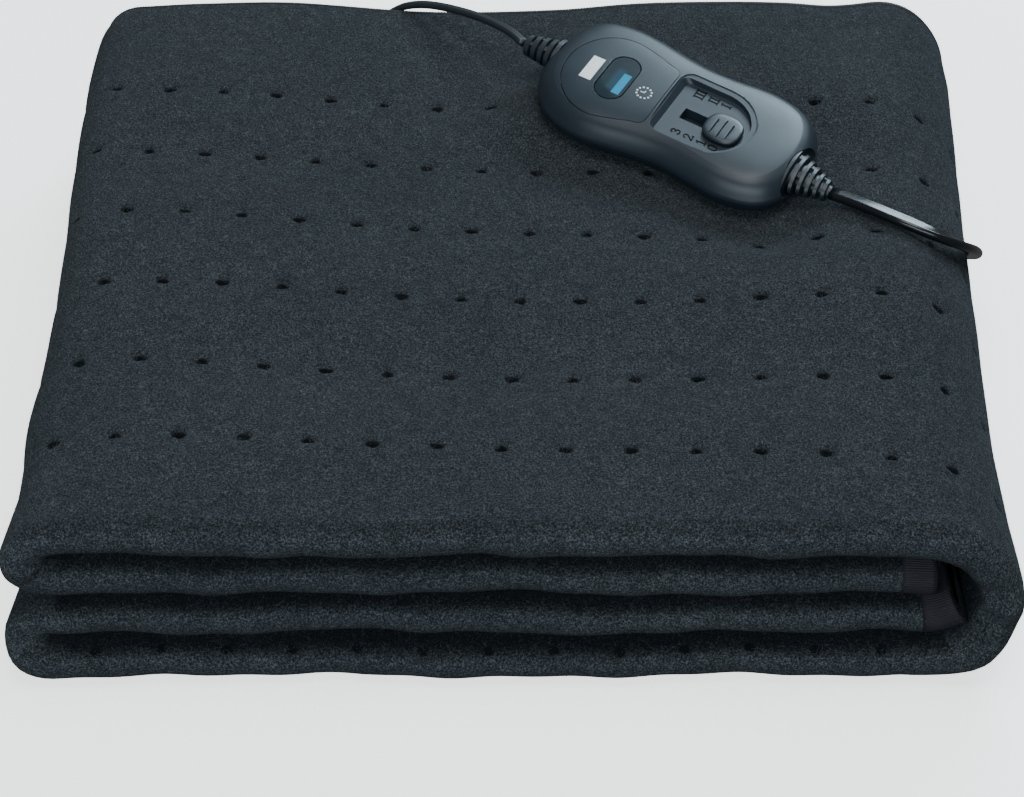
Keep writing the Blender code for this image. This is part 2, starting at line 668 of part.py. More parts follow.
def upper_shell(frame, finish):
    shell = mesh_object("controller_upper_shell", upper_body(), finish, frame)
    cut(shell, prism(recess_outline(), RECESS["floor"], ABOVE), frame)
    slot = rectangle(SLOT["left"], SLOT["right"], SLOT["half_w"])
    cut(shell, prism(slot, SLOT["floor"], ABOVE), frame)
    cut(shell, prism(panel_outline(0.0), PANEL_FLOOR, ABOVE), frame)
    return shell


def face_panel(frame, finish):
    """Fits the pocket in the upper shell, and is cut to the shell's own crowned top."""
    panel = mesh_object("controller_face_panel", upper_body(), finish, frame)
    cut(panel, prism(panel_outline(GAP), PANEL_FLOOR + GAP, ABOVE), frame, "INTERSECT")
    cut(panel, prism(window_outline(GAP), 0.0, ABOVE), frame)


def window(frame, finish):
    glass = mesh_object("controller_window", upper_body(), finish, frame)
    shape = prism(window_outline(0.0), PANEL_FLOOR + GAP, SHELL_TOP - WINDOW["sunk"])
    cut(glass, shape, frame, "INTERSECT")


def slider_knob(frame, finish):
    """The switch's knob: a low button with three grooves, on a stem that runs in the slot."""
    rings = [[(u, w, height) for u, w in knob_outline(inset)] for inset, height in KNOB_LEVELS]
    knob = mesh_object("slider_knob", loft(rings), finish, frame)
    foot, top = KNOB_LEVELS[0][1], KNOB_LEVELS[-1][1]
    stem = rectangle(KNOB["u"] - KNOB_STEM["half_u"], KNOB["u"] + KNOB_STEM["half_u"], KNOB_STEM["half_w"])
    cut(knob, prism(stem, KNOB_STEM["foot"], foot + KNOB_STEM["into_knob"]), frame, "UNION")
    for k in (-1, 0, 1):
        u = KNOB["u"] + k * GRIP["pitch"]
        line = rectangle(u - GRIP["half_u"], u + GRIP["half_u"], GRIP["half_w"], GRIP["w"])
        cut(knob, prism(line, top - GRIP["depth"], ABOVE), frame)


def strain_relief(name, frame, sleeve, finish):
    """A tapered, ribbed sleeve along the controller's long axis."""
    rings = []
    steps = 4 * sleeve["ribs"]
    for k in range(steps + 1):
        share = k / steps
        groove = GROOVE_SHARE if k % 4 in (2, 3) and k < steps else 1.0
        half_w, half_h = (mix(base, tip, share) * groove for base, tip in zip(sleeve["base"], sleeve["tip"]))
        u = sleeve["side"] * mix(sleeve["start"], sleeve["end"], share)
        rings.append(oval(u, mix(*sleeve["w"], share), half_w, half_h))
    mesh_object(name, loft(rings), finish, frame)


def oval(u, w, half_w, half_h, points=16):
    turns = [2 * pi * j / points for j in range(points)]
    return [(u, w + half_w * cos(turn), RELIEF_HEIGHT + half_h * sin(turn)) for turn in turns]


def relief_pocket(shell, sleeve, frame):
    """Room in a shell's end for a sleeve's root."""
    half_w, half_h = sleeve["base"][0] + GAP, sleeve["base"][1] + GAP
    near, far = sleeve["side"] * (sleeve["start"] - GAP), sleeve["side"] * PAST_END
    cut(shell, loft([oval(u, sleeve["w"][0], half_w, half_h) for u in (near, far)]), frame)


# ---- leads, coil and plug --------------------------------------------------------------------------------
def lead(name, route, radius, step, finish):
    curve = bpy.data.curves.new(name, "CURVE")
    curve.dimensions = "3D"
    curve.bevel_depth = radius
    curve.bevel_resolution = 2
    curve.use_fill_caps = True
    points = smooth_route(route, step)
    spline = curve.splines.new("POLY")
    spline.points.add(len(points) - 1)
    for at, point in zip(spline.points, points):
        at.co = (*point, 1.0)
    curve.materials.append(finish)
    made = bpy.data.objects.new(name, curve)
    bpy.context.collection.objects.link(made)
    return made


def coil(finish):
    """The outer shape of the wound turns: a turned ring with rounded edges."""
    inner, outer, low, high = COIL["inner"], COIL["outer"], COIL["bottom"], COIL["top"]
    edge = COIL_EDGE
    profile = [
        (inner + edge, low), (outer - edge, low), (outer, low + edge), (outer, high - edge),
        (outer - edge, high), (inner + edge, high), (inner, high - edge), (inner, low + edge),
    ]
    bm = bmesh.new()
    rings = []
    for k in range(COIL_STEPS):
        turn = 2 * pi * k / COIL_STEPS
        ring = [(COIL["x"] + r * cos(turn), COIL["y"] + r * sin(turn), z) for r, z in profile]
        rings.append([bm.verts.new(point) for point in ring])
    for k, ring in enumerate(rings):
        following = rings[(k + 1) % COIL_STEPS]
        for j in range(len(profile)):
            nxt = (j + 1) % len(profile)
            bm.faces.new((ring[j], ring[nxt], following[nxt], following[j]))
    return mesh_object("mains_coil", bm, finish)


def coil_tie(finish):
    """A flat strap closed round the coil's turns."""
    inner, outer, low, high = COIL["inner"], COIL["outer"], COIL["bottom"], COIL["top"]
    bend = TIE["bend"]
    loops = []
    for grown in (GAP, GAP + TIE["thickness"]):
        r0, r1 = inner - grown - TIE["loose"] / 2, outer + grown + TIE["loose"]
        z0, z1 = low - grown, high + grown
        loops.append([
            (r0 + bend, z0), (r1 - bend, z0), (r1, z0 + bend), (r1, z1 - bend),
            (r1 - bend, z1), (r0 + bend, z1), (r0, z1 - bend), (r0, z0 + bend),
        ])
    out = Vector((cos(TIE["angle"]), sin(TIE["angle"]), 0))
    side = Vector((-out.y, out.x, 0))
    middle = Vector((COIL["x"], COIL["y"], 0))
    bm = bmesh.new()
    rows = []
    for shift in (-TIE["width"] / 2, TIE["width"] / 2):
        for loop in loops:
            places = [middle + out * r + side * shift + Vector((0, 0, z)) for r, z in loop]
            rows.append([bm.verts.new(place) for place in places])
    for a, b in ((0, 1), (1, 3), (3, 2), (2, 0)):
        for k in range(len(loops[0])):
            nxt = (k + 1) % len(loops[0])
            bm.faces.new((rows[a][k], rows[a][nxt], rows[b][nxt], rows[b][k]))
    return mesh_object("coil_tie", bm, finish)


def plug_outline(half_y, half_z):
    """Flat section with eased corners."""
    flat, side = half_y * PLUG_FLAT, half_z * PLUG_SIDE
    return [
        (half_y, side), (flat, half_z), (-flat, half_z), (-half_y, side),
        (-half_y, -side), (-flat, -half_z), (flat, -half_z), (half_y, -side),
    ]


def plug_body(finish):
    rings = []
    for share, wide, high in PLUG_SECTIONS:
        outline = plug_outline(PLUG["half_width"] * wide, PLUG["half_height"] * high)
        x = PLUG["x"] - GAP - PLUG["length"] * share
        rings.append([(x, PLUG["y"] + y, PLUG["z"] + z) for y, z in outline])
    return mesh_object("plug_body", loft(rings), finish)


def plug_pin(name, side, finish):
    start = PLUG["x"] - 2 * GAP - PLUG["length"]
    middle = PLUG["y"] + side * PIN["apart"] / 2
    turns = [2 * pi * k / PIN["points"] for k in range(PIN["points"])]
    rings = []
    for reach, share in PIN_SECTIONS:
        x, radius = start - PIN["length"] * reach, PIN["radius"] * share
        rings.append([(x, middle + radius * cos(turn), PLUG["z"] + radius * sin(turn)) for turn in turns])
    return mesh_object(name, loft(rings), finish)


def main():
    for leftover in list(bpy.data.objects):
        bpy.data.objects.remove(leftover)
    fleece = material("fleece", (0.030, 0.037, 0.042), 0.95)
    shell = material("shell_plastic", (0.055, 0.065, 0.075), 0.42)
    panel = material("panel_plastic", (0.048, 0.058, 0.068), 0.38)
    glass = material("window_plastic", (0.010, 0.030, 0.045), 0.15)
    knob = material("knob_plastic", (0.060, 0.070, 0.080), 0.40)
    rubber = material("relief_rubber", (0.030, 0.034, 0.038), 0.50)
    cable = material("cable_black", (0.012, 0.013, 0.015), 0.25)
    plug = material("plug_black", (0.018, 0.019, 0.021), 0.35)
    metal = material("pin_metal", (0.75, 0.73, 0.68), 0.25, 1.0)

    blanket(fleece)
    frame = controller_frame()
    for half in (lower_shell(frame, shell), upper_shell(frame, shell)):
        relief_pocket(half, LEFT_RELIEF, frame)
        relief_pocket(half, RIGHT_RELIEF, frame)
    face_panel(frame, panel)
    window(frame, glass)
    slider_knob(frame, knob)
    strain_relief("relief_left", frame, LEFT_RELIEF, rubber)
    strain_relief("relief_right", frame, RIGHT_RELIEF, rubber)
    lead("blanket_lead", BLANKET_LEAD, LEAD_RADIUS, LEAD_STEP["blanket"], cable)
    lead("mains_lead", MAINS_LEAD, MAINS_RADIUS, LEAD_STEP["mains"], cable)
    lead("plug_tail", PLUG_TAIL, MAINS_RADIUS, LEAD_STEP["tail"], cable)
    coil(cable)
    coil_tie(rubber)
    plug_body(plug)
    plug_pin("plug_pin_near", -1, metal)
    plug_pin("plug_pin_far", 1, metal)


main()
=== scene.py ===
"""The looks of an electric heated blanket: thick dark fleece folded in half and then to four leaves, with the
controller that lies on it, the lead into the blanket, and the mains lead with its stored coil and plug.

Metres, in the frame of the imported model. The nose of the fold in half faces -Y, and the open edge faces +Y.
On the controller, u runs along it to its right lobe, w across it to its far side, and height up from its
base.
"""

from math import atan2, cos, pi, radians, sin, sqrt, tan

import bmesh
import bpy
import numpy as np
from mathutils import Matrix, Vector


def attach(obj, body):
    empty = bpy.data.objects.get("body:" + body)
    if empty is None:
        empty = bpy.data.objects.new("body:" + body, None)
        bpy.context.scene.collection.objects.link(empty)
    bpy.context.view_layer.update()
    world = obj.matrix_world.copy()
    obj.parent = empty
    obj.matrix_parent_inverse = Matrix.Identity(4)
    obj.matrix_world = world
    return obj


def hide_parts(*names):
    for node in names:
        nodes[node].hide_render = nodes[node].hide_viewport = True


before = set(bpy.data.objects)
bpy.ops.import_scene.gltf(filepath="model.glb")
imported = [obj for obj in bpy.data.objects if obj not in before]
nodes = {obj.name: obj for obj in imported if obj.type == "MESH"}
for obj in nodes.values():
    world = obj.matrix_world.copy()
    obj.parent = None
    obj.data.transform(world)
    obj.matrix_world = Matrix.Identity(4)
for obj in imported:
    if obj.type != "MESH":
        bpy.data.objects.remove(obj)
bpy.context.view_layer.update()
CLOTH_BODY = "folded_blanket"
KNOB_BODY = "switch_knob"

# ---- the folded cloth, as in the part's source -----------------------------------------------------------
PLY = 0.0076
SLIT = 0.0012
HALF_LEAF = PLY + SLIT / 2
LEAF_PITCH = 0.0190
FOLD_RADIUS = LEAF_PITCH / 2
WRAP_RADIUS = 1.5 * LEAF_PITCH
FOLD_OUTSIDE = FOLD_RADIUS + HALF_LEAF
WRAP_OUTSIDE = WRAP_RADIUS + HALF_LEAF
STACK_HEIGHT = 3 * LEAF_PITCH + 2 * HALF_LEAF
LEVEL = {"top": 3 * LEAF_PITCH, "second": 2 * LEAF_PITCH, "third": LEAF_PITCH, "bottom": 0.0}
NOSE_Y = {"top": -0.1903, "second": -0.1885, "third": -0.1885, "bottom": -0.1918}
NOSE_LINE = sorted((LEVEL[name] / LEVEL["top"], NOSE_Y[name]) for name in LEVEL)  # (share of the height, y)
BACK_Y = 0.2000
BACK_STAGGER = 0.0022
LEFT_EDGE = (
    (-0.200, -0.1945), (-0.165, -0.1915), (-0.115, -0.1948), (-0.065, -0.1938), (0.000, -0.1955),
    (0.050, -0.1990), (0.100, -0.2015), (0.160, -0.2040), (0.185, -0.2035), (0.201, -0.2010),
)
RIGHT_EDGE = ((-0.200, 0.1800), (-0.110, 0.1806), (0.030, 0.1898), (0.180, 0.2000), (0.201, 0.2000))
LOWER_FOLD_OUT = ((-0.200, 0.0018), (0.000, 0.0))
RIGHT_SAG = ((-0.200, 0.0080), (-0.050, 0.0060), (0.050, 0.0045), (0.180, 0.0070), (0.201, 0.0070))
LEFT_SAG = 0.0020
SAG_WIDTH = 0.0220
SAG_FADE = 1.6
SECOND_END = {"past": 0.0055, "drop": 0.0013, "fade": 9.0}
THIRD_END = {"past": 0.0130, "lift": 0.0060, "from": 0.0020, "slope": radians(24), "curl": 2.5}

# How far the top stands up or sags, in millimetres: each row is y, then one height for each x of RELIEF_X
RELIEF_X = (-0.192, -0.152, -0.112, -0.047, 0.013, 0.053, 0.093, 0.123, 0.148, 0.190)
RELIEF_MM = (
    (-0.196, -3.0, 0.5, 1.0, 0.0, 0.0, 0.0, 1.0, 1.0, -1.0, -3.0),
    (-0.146, -4.0, 2.0, 2.5, 0.5, 0.0, 1.0, 2.0, 1.5, -0.5, -4.0),
    (-0.094, -4.0, 1.0, -1.0, -4.5, -5.0, -3.5, -1.0, 1.0, 1.0, -3.0),
    (-0.046, 1.0, 3.0, 2.5, -2.0, -2.3, -1.0, 2.0, 5.0, 6.0, 1.0),
    (0.004, 4.0, 5.0, 2.5, -2.0, -3.0, -3.5, -3.5, -0.5, 2.0, 0.0),
    (0.056, 3.0, 2.0, 0.0, -3.5, -5.0, -5.0, -4.0, 0.0, 2.0, -1.0),
    (0.106, 4.0, 4.0, 2.0, -3.0, -4.5, -3.0, 0.0, 5.0, 6.0, 1.0),
    (0.196, 0.0, 1.5, 2.0, -3.0, -2.0, 1.5, 2.5, 2.0, 0.5, 5.0),
)
SINK = 1.3
BED = {"clear": 0.0011, "half_u": 0.0630, "half_w": 0.0320, "skirt": 0.034}

# ---- the cloth's welds, waves and threads ----------------------------------------------------------------
WELD_PITCH_X = 0.02425
WELD_PITCH_Y = 0.0509
WELD_CENTRE = (-0.00135, -0.0224)
CENTRE_COLUMN, CENTRE_ROW = 8, 3.5
COLUMN_LEAN = tan(radians(4.2))
ROW_LEAN = tan(radians(2.4))
WELD_ROWS = (1, 6)
WELD_COLUMNS = (-2, 21)  # the lattice runs on round both folds
TOP_COLUMNS = (0.0, 18.5)  # of the flat part, as in the source
WELD = {"radius": 0.0019, "depth": 0.0026, "dish": 0.00035, "dish_radius": 0.0055}
FRONT_WELD = {"first_x": -0.1618, "pitch": 0.02437, "count": 13, "depth": 0.0018, "radius": 0.0022,
              "angle": -52.0}
PUFF = 0.0004
PINCH = {"deep": 0.0011, "fade": 0.036}  # of a leaf's upper side near its nose; it fades in beyond the wrap
NOSE_REACH = 0.022  # how far back from a nose its waves reach
NOSE_DROP = 0.0002
HANG = {"seed": 3.0, "by_level": 5.0, "waves": ((0.112, 0.00055), (0.047, 0.00035), (0.0225, 0.00012))}
BULGE = {"seed": 1.0, "by_level": 9.0, "waves": ((0.173, 0.0010), (0.071, 0.0007), (0.031, 0.0004))}
BULGE_REACH = {"from": 0.030, "over": 0.034, "power": 1.6}
PIT_SHADE_MASK = "pit"  # the mesh attribute that is 1 in a weld and 0 away from it; the pile is painted near black there as shade in the pits
PAINTED_LIGHT_ATTRIBUTE = "shade"  # the mesh attribute of painted light and shade that the pile's colour is multiplied by
PAINTED_SIDE_LIGHT = 0.78  # painted light: how much brighter the pile's colour is made where the cloth faces sideways
# Painted shade: how much darker the pile's colour is made in a crevice
CREVICE_PAINTED_SHADE = 0.74
DEEP_SHADE = 0.06  # painted shade of the cut ends, which lie deep in the fold
OVERLOCK = {"pitch": 0.0014, "size": 0.00034, "on_top": 0.11}
END_STRIP = {"wide": 0.013, "pitch": 0.00095, "size": 0.00036, "rows": 9, "start": 0.0002}
THREAD_STEPS = 6  # places along each ridge of thread
BAND_SUNK = 0.0004
FUZZ = {"short": 0.0011, "long": 0.0026, "wide": 0.00009, "lift": 0.42, "lowest": 0.004}

OUTER_ZONES = ("upper fold", "top", "wrap")  # they follow the top leaf's developed line
UPPER_SIDE_OF = {"second": -1, "bottom": -1, "third": 1}  # the side of a leaf's ring that faces up
# Offsets from a weld in millimetres, close together near it
STATION_OFFSETS = (-8.4, -5.4, -3.4, -2.1, -1.0, 0.0, 1.0, 2.1, 3.4, 5.4, 8.4, 12.125)
ROW_OFFSETS = (-19.5, -14.0, -9.6, -6.3, -4.0, -2.4, -1.1, 0.0, 1.1, 2.4, 4.0, 6.3, 9.6, 14.0, 19.5, 25.45)
LAST_ROWS = (1.42, 1.25, 1.05, 0.9, 0.75, 0.62)  # past the last row of welds, out to the back edge
INNER_ROWS = tuple(1.0 + 0.30 * k for k in range(21))
SLIT_ROWS = tuple(6.8 - 0.55 * k for k in range(11))
NOSE_STEPS = 20
EDGE_STEPS = 5
EDGE_ROUND = 0.0020
END_STEPS = 66
FOLD_STEPS = 16
WRAP_STEPS = 26

# ---- the controller, as in the part's source -------------------------------------------------------------
CONTROLLER_BASE = (0.0638, 0.0735, 0.0745)
TILT = radians(8.0)
LONG_AXIS = radians(-36.7)
CROSS_AXIS = radians(62.3)
LENGTH = 0.1365
SHELL_CENTRE = (-0.0014, 0.0054)
# (u, half width) of the left lobe, the waist and the right lobe
HALF_WIDTHS = ((-0.040, 0.0388), (0.008, 0.0325), (0.040, 0.0358))
END_POWER = {"far left": 7.0, "near left": 4.6, "right": 6.5}
PARTING = 0.0066
GAP = 0.0003
CROWN = 0.0016
CROWN_FROM = 0.0128
ABOVE = 0.030
# (height, inset) up the sides of the shells, and (inset, height) on over the upper one's top
LOWER_SIDE = ((0.0, 0.0085), (0.0004, 0.0055), (0.0018, 0.0026), (0.0040, 0.0009), (PARTING, 0.0))
UPPER_SIDE = ((PARTING + GAP, 0.0), (0.0092, 0.0003), (0.0128, 0.0016), (0.0160, 0.0042), (0.0179, 0.0078))
TOP_SIDE = ((0.0, 0.0069), (0.0016, 0.0128), (0.0042, 0.0160), (0.0078, 0.0179), (0.0124, 0.0186),
            (0.0165, 0.0188), (0.0210, 0.0189), (0.0400, 0.0189))
SHELL_TOP = TOP_SIDE[-1][1]
SHELL_POINTS = 200
SIDE_STEPS = 16
TOP_STEPS = 14
SPINE = (-0.034, 0.036)
SPINE_REACH = 0.96
SHARP = radians(38)
EDGES = {"shell": 0.00028, "panel": 0.00022, "window": 0.00015, "knob": 0.00012}  # widths of the bevels
# How many points each outline or part of one has
POINTS = {"window": 72, "end": 48, "corner": 8, "side": 14, "knob": 96, "sleeve": 40, "lead": 24}

PANEL_FLOOR = 0.0154
PANEL = {"left": -0.0573, "right": -0.0062, "round": 0.0235, "half_w": 0.0269, "w": 0.0010}
PANEL_CORNER = ((-0.0200, 0.0240), (-0.0097, 0.0209), (-0.0072, 0.0193), (-0.0062, 0.0168))
WINDOW = {"u": -0.0303, "w": 0.0007, "half_u": 0.0071, "half_w": 0.0150, "top": 0.0184, "gap": 0.0006}
GLOW = {"u": -0.0268, "w": -0.0022, "half_u": 0.0022, "half_w": 0.0075, "blur": 0.0004}
GHOST = {"u": -0.0304, "w": -0.0006, "half_u": 0.0034, "half_w": 0.0085, "blur": 0.0022}
PLATE = {"u": -0.0437, "half_u": 0.0031, "half_w": 0.00795}
PLATE_CORNERS = ((-1, -1), (0, -1), (1, -1), (1, 0), (1, 1), (0, 1), (-1, 1), (-1, 0))
PLATE_EDGE = ((-0.0008, 0.0), (0.00012, 0.0), (0.00020, 0.00015))  # (height over the panel, inset)
DOTS = {"u": -0.0149, "w": -0.0017, "radius": 0.0036, "count": 12, "size": 0.00052}
HANDS = ((0.0017, radians(180)), (0.0013, radians(80)))  # (length, angle)
HAND = {"dots": 6, "size": 0.55}
PRINT = {"over": 0.00007, "under": -0.00023, "points": 12}

RECESS = {"left": -0.0040, "right": 0.0380, "end": 0.0191, "half_w": 0.0199, "w": 0.0006, "floor": 0.0158,
          "corner": 0.0040}
# (height, growth, shift of the left side) of the recess's walls, which slope most at the left
RECESS_WALLS = ((RECESS["floor"], -0.0006, 0.0012), (SHELL_TOP, 0.0, -0.0014), (ABOVE, 0.0, -0.0014))
RIM = {"wide": 0.0018, "step": 0.0005, "left": 0.0010, "shift": 0.0012}
SLOT = {"left": 0.0047, "right": 0.0291, "half_w": 0.0037, "floor": 0.0108}
KNOB = {"u": 0.0261, "w": -0.0008, "half_u": 0.0092, "half_w": 0.0090, "square": 2.6, "top": 0.0184}
KNOB_LEVELS = (  # (inset, height)
    (0.0010, 0.0161), (0.0003, 0.0164), (0.0000, 0.0170), (0.0000, 0.0175), (0.0002, 0.0179), (0.0006, 0.01825),
    (0.0012, 0.0184), (0.0022, 0.01850), (0.0038, 0.01855), (0.0060, 0.01858),
)
GRIP = {"pitch": 0.0040, "half_u": 0.00036, "half_w": 0.0062, "w": -0.0022, "depth": 0.0005, "outer": 0.80,
        "bottom": 0.25, "over": 0.0002}

LABEL_DEPTH = 0.00016
DIGIT = {"tall": 0.0044, "wide": 0.0028, "stroke": 0.00056, "lap": 0.7}
DIAL = {"w": -0.0126, "at": (("3", 0.0075), ("2", 0.0140), ("1", 0.0205), ("0", 0.0265))}
STEPS = {"w": 0.0154, "pitch": 0.0021, "serif": 0.00075, "at": ((3, 0.0062), (2, 0.0135), (1, 0.0199))}
# Each digit as strokes through (across, up) points, in shares of its width and height
STROKES = {
    "0": (((0.5, 1.0), (0.12, 0.85), (0.0, 0.5), (0.12, 0.15), (0.5, 0.0), (0.88, 0.15), (1.0, 0.5),
           (0.88, 0.85), (0.5, 1.0)),),
    "1": (((0.20, 0.80), (0.55, 1.0), (0.55, 0.0)), ((0.22, 0.0), (0.88, 0.0))),
    "2": (((0.05, 0.76), (0.22, 0.95), (0.55, 1.0), (0.88, 0.86), (0.86, 0.62), (0.45, 0.30), (0.0, 0.0)),
          ((0.0, 0.0), (1.0, 0.0), (1.0, 0.14))),
    "3": (((0.06, 0.80), (0.25, 0.97), (0.60, 1.0), (0.88, 0.82), (0.80, 0.60), (0.42, 0.53)),
          ((0.42, 0.53), (0.85, 0.46), (1.0, 0.25), (0.80, 0.06), (0.42, 0.0), (0.04, 0.16))),
}

# Each strain relief: which end it is on, its run, its middle's w at both ends, its half width and half height
# at the collar, at the second rib and at the tip, and how much of the pitch a rib fills
RELIEF_HEIGHT = 0.0092
LEFT_RELIEF = {
    "side": -1, "start": 0.0640, "end": 0.0834, "w": (0.0080, 0.0059), "base": (0.0100, 0.0064),
    "second": (0.0088, 0.0059), "tip": (0.0050, 0.0043), "ribs": 5, "rib": 0.76,
}
RIGHT_RELIEF = {
    "side": 1, "start": 0.0600, "end": 0.0815, "w": (0.0022, -0.0005), "base": (0.0160, 0.0066),
    "second": (0.0126, 0.0064), "tip": (0.0046, 0.0038), "ribs": 6, "rib": 0.58,
}
PAST_END = 0.090
CORE_SHARE = 0.62
COLLAR = 0.8  # the share of the first pitch that the collar takes
BRIDGES = (radians(118), radians(62), radians(-60), radians(-120))
BRIDGE = {"half_turn": 0.16, "outer": 0.93, "inner": 0.5, "lap": 0.10, "back": 1.08}

# ---- the leads, the coil and the plug's tail, as in the part's source ------------------------------------
FLAT_LEAD = {"half_width": 0.0035, "half_height": 0.0021, "step": 0.0035}
SLIM_LEAD = {"half_width": 0.0022, "half_height": 0.0017, "step": 0.003}
GROOVE = {"size": 0.30, "wide": 0.36, "in": 0.45, "down": 0.55}  # between a flat lead's cores
BLANKET_LEAD = (
    (-0.0014, 0.1279, 0.0913), (-0.0072, 0.1390, 0.0908), (-0.0156, 0.1535, 0.0880), (-0.0245, 0.1668, 0.0847),
    (-0.0332, 0.1785, 0.0812), (-0.0415, 0.1876, 0.0783), (-0.0500, 0.1942, 0.0757), (-0.0582, 0.2000, 0.0716),
    (-0.0650, 0.2054, 0.0656), (-0.0698, 0.2096, 0.0597), (-0.0722, 0.2106, 0.0546), (-0.0733, 0.2088, 0.0501),
    (-0.0738, 0.2052, 0.0475), (-0.0740, 0.1998, 0.0466),
)
MAINS_LEAD = (
    (0.1294, 0.0230, 0.0768), (0.1355, 0.0176, 0.0776), (0.1437, 0.0093, 0.0787), (0.1520, 0.0018, 0.0790),
    (0.1597, -0.0036, 0.0784), (0.1672, -0.0062, 0.0762), (0.1744, -0.0055, 0.0724), (0.1811, -0.0010, 0.0668),
    (0.1870, 0.0076, 0.0592), (0.1919, 0.0205, 0.0492), (0.1956, 0.0360, 0.0378), (0.1969, 0.0520, 0.0264),
    (0.1957, 0.0680, 0.0160), (0.1930, 0.0840, 0.0082), (0.1908, 0.1010, 0.0040), (0.1905, 0.1220, 0.0030),
    (0.1912, 0.1500, 0.0030), (0.1915, 0.1850, 0.0030), (0.1900, 0.2200, 0.0030), (0.1862, 0.2480, 0.0030),
)
PLUG_TAIL = (
    (0.0951, 0.2780, 0.0034), (0.0915, 0.2722, 0.0036), (0.0860, 0.2672, 0.0044), (0.0790, 0.2640, 0.0056),
    (0.0700, 0.2630, 0.0068), (0.0600, 0.2630, 0.0074),
)
COIL = {"x": 0.1375, "y": 0.2535, "steps": 48}
INNER, OUTER, BESIDE = 0.0348, 0.0422, 0.0492
LOW, MID, HIGH, FLOOR = 0.0038, 0.0082, 0.0126, 0.0032
WINDING = (  # (turn, distance from the coil's middle, height)
    (0.00, 0.0490, FLOOR), (0.14, OUTER, LOW), (0.93, OUTER, LOW), (1.10, INNER, LOW), (1.93, INNER, LOW),
    (2.10, INNER, MID), (2.93, INNER, MID), (3.10, INNER, HIGH), (3.93, INNER, HIGH), (4.10, OUTER, HIGH),
    (4.93, OUTER, HIGH), (5.10, OUTER, MID), (5.87, OUTER, MID), (6.00, BESIDE, MID), (6.12, BESIDE, MID),
    (6.27, BESIDE, FLOOR), (6.42, BESIDE, FLOOR),
)

# ---- camera and light ------------------------------------------------------------------------------------
CAMERA_DOWN = radians(36.5)
CAMERA_AWAY = 1.1378
CAMERA_AIM = (-0.0068, -0.01964, 0.0)
FOCAL_PIXELS = 2650
PHOTO_WIDTH = 1024
SENSOR = 36.0
SOFTBOXES = (  # name, place, aim, size, power, colour
    ("front", (-0.3, -2.0, 1.15), (0, -0.1, 0.04), (3.2, 0.8), 47.0, (0.80, 0.92, 1.0)),
    ("above", (0.1, -0.1, 2.0), (0, 0, 0.05), (1.4, 1.0), 25.0, (0.95, 0.99, 1.0)),
    ("behind right", (0.85, 1.65, 1.30), (0.08, 0.05, 0.08), (1.2, 0.8), 41.5, (0.68, 0.87, 1.0)),
)
WORLD = {"colour": (0.93, 0.97, 1.0, 1.0), "strength": 0.12}
STAGE = {"half": 4.0, "z": -0.0004, "glow": 1.6}


# ---- helpers ---------------------------------------------------------------------------------------------
def mix(a, b, share):
    return a + (b - a) * share


def ease(share):
    share = np.clip(share, 0.0, 1.0)
    return share * share * (3 - 2 * share)


def hermite(a, b, slope_a, slope_b, t):
    t2, t3 = t * t, t * t * t
    between = (2 * t3 - 3 * t2 + 1) * a + (t3 - 2 * t2 + t) * slope_a
    return between + (3 * t2 - 2 * t3) * b + (t3 - t2) * slope_b


def curve_through(places, values, at):
    """A smooth curve through values at places, read at an array of places. Its values may be arrays too."""
    places, values = np.asarray(places, float), np.asarray(values, float)
    slopes = np.zeros_like(values)
    gaps = (places[2:] - places[:-2]).reshape((-1,) + (1,) * (values.ndim - 1))
    slopes[1:-1] = (values[2:] - values[:-2]) / gaps
    at = np.clip(np.asarray(at, float), places[0], places[-1])
    low = np.clip(np.searchsorted(places, at) - 1, 0, len(places) - 2)
    span = places[low + 1] - places[low]
    pick = (lambda table, k: table[k]) if values.ndim == 1 else (lambda table, k: np.choose(k, table))
    return hermite(
        pick(values, low), pick(values, low + 1), pick(slopes, low) * span, pick(slopes, low + 1) * span,
        (at - places[low]) / span,
    )


def along(table, at):
    return curve_through(*zip(*table), at)


def reach_along(line):
    """The distance of each point of a line from its first, along the line."""
    return np.concatenate([[0.0], np.cumsum(np.linalg.norm(np.diff(line, axis=0), axis=1))])


def turns(count, start=0.0):
    """The angles of count places evenly round a circle."""
    return [2 * pi * (k + start) / count for k in range(count)]


def smooth_route(points, step):
    """Points about step apart on one smooth curve through the route's own points."""
    points = [Vector(point) for point in points]
    ends = [points[0] * 2 - points[1], *points, points[-1] * 2 - points[-2]]
    out = []
    for k in range(1, len(ends) - 2):
        pieces = max(1, round((ends[k + 1] - ends[k]).length / step))
        slope_a, slope_b = (ends[k + 1] - ends[k - 1]) / 2, (ends[k + 2] - ends[k]) / 2
        out += [hermite(ends[k], ends[k + 1], slope_a, slope_b, j / pieces) for j in range(pieces)]
    return [*out, points[-1]]


def link(name, data):
    made = bpy.data.objects.new(name, data)
    bpy.context.scene.collection.objects.link(made)
    return made


def tube_mesh(name, rings, finish):
    """An object whose faces run round and along rings of equally many points, closed at both ends."""
    count = len(rings[0])
    faces = []
    for k in range(len(rings) - 1):
        for j in range(count):
            after = (j + 1) % count
            faces.append((k * count + j, k * count + after, (k + 1) * count + after, (k + 1) * count + j))
    faces += [tuple(range(count)), tuple((len(rings) - 1) * count + k for k in range(count))]
    mesh = bpy.data.meshes.new(name)
    mesh.from_pydata([tuple(point) for ring in rings for point in ring], [], faces)
    bm = bmesh.new()
    bm.from_mesh(mesh)
    bmesh.ops.recalc_face_normals(bm, faces=bm.faces)
    bm.to_mesh(mesh)
    bm.free()
    mesh.materials.append(finish)
    mesh.shade_smooth()
    return link(name, mesh)


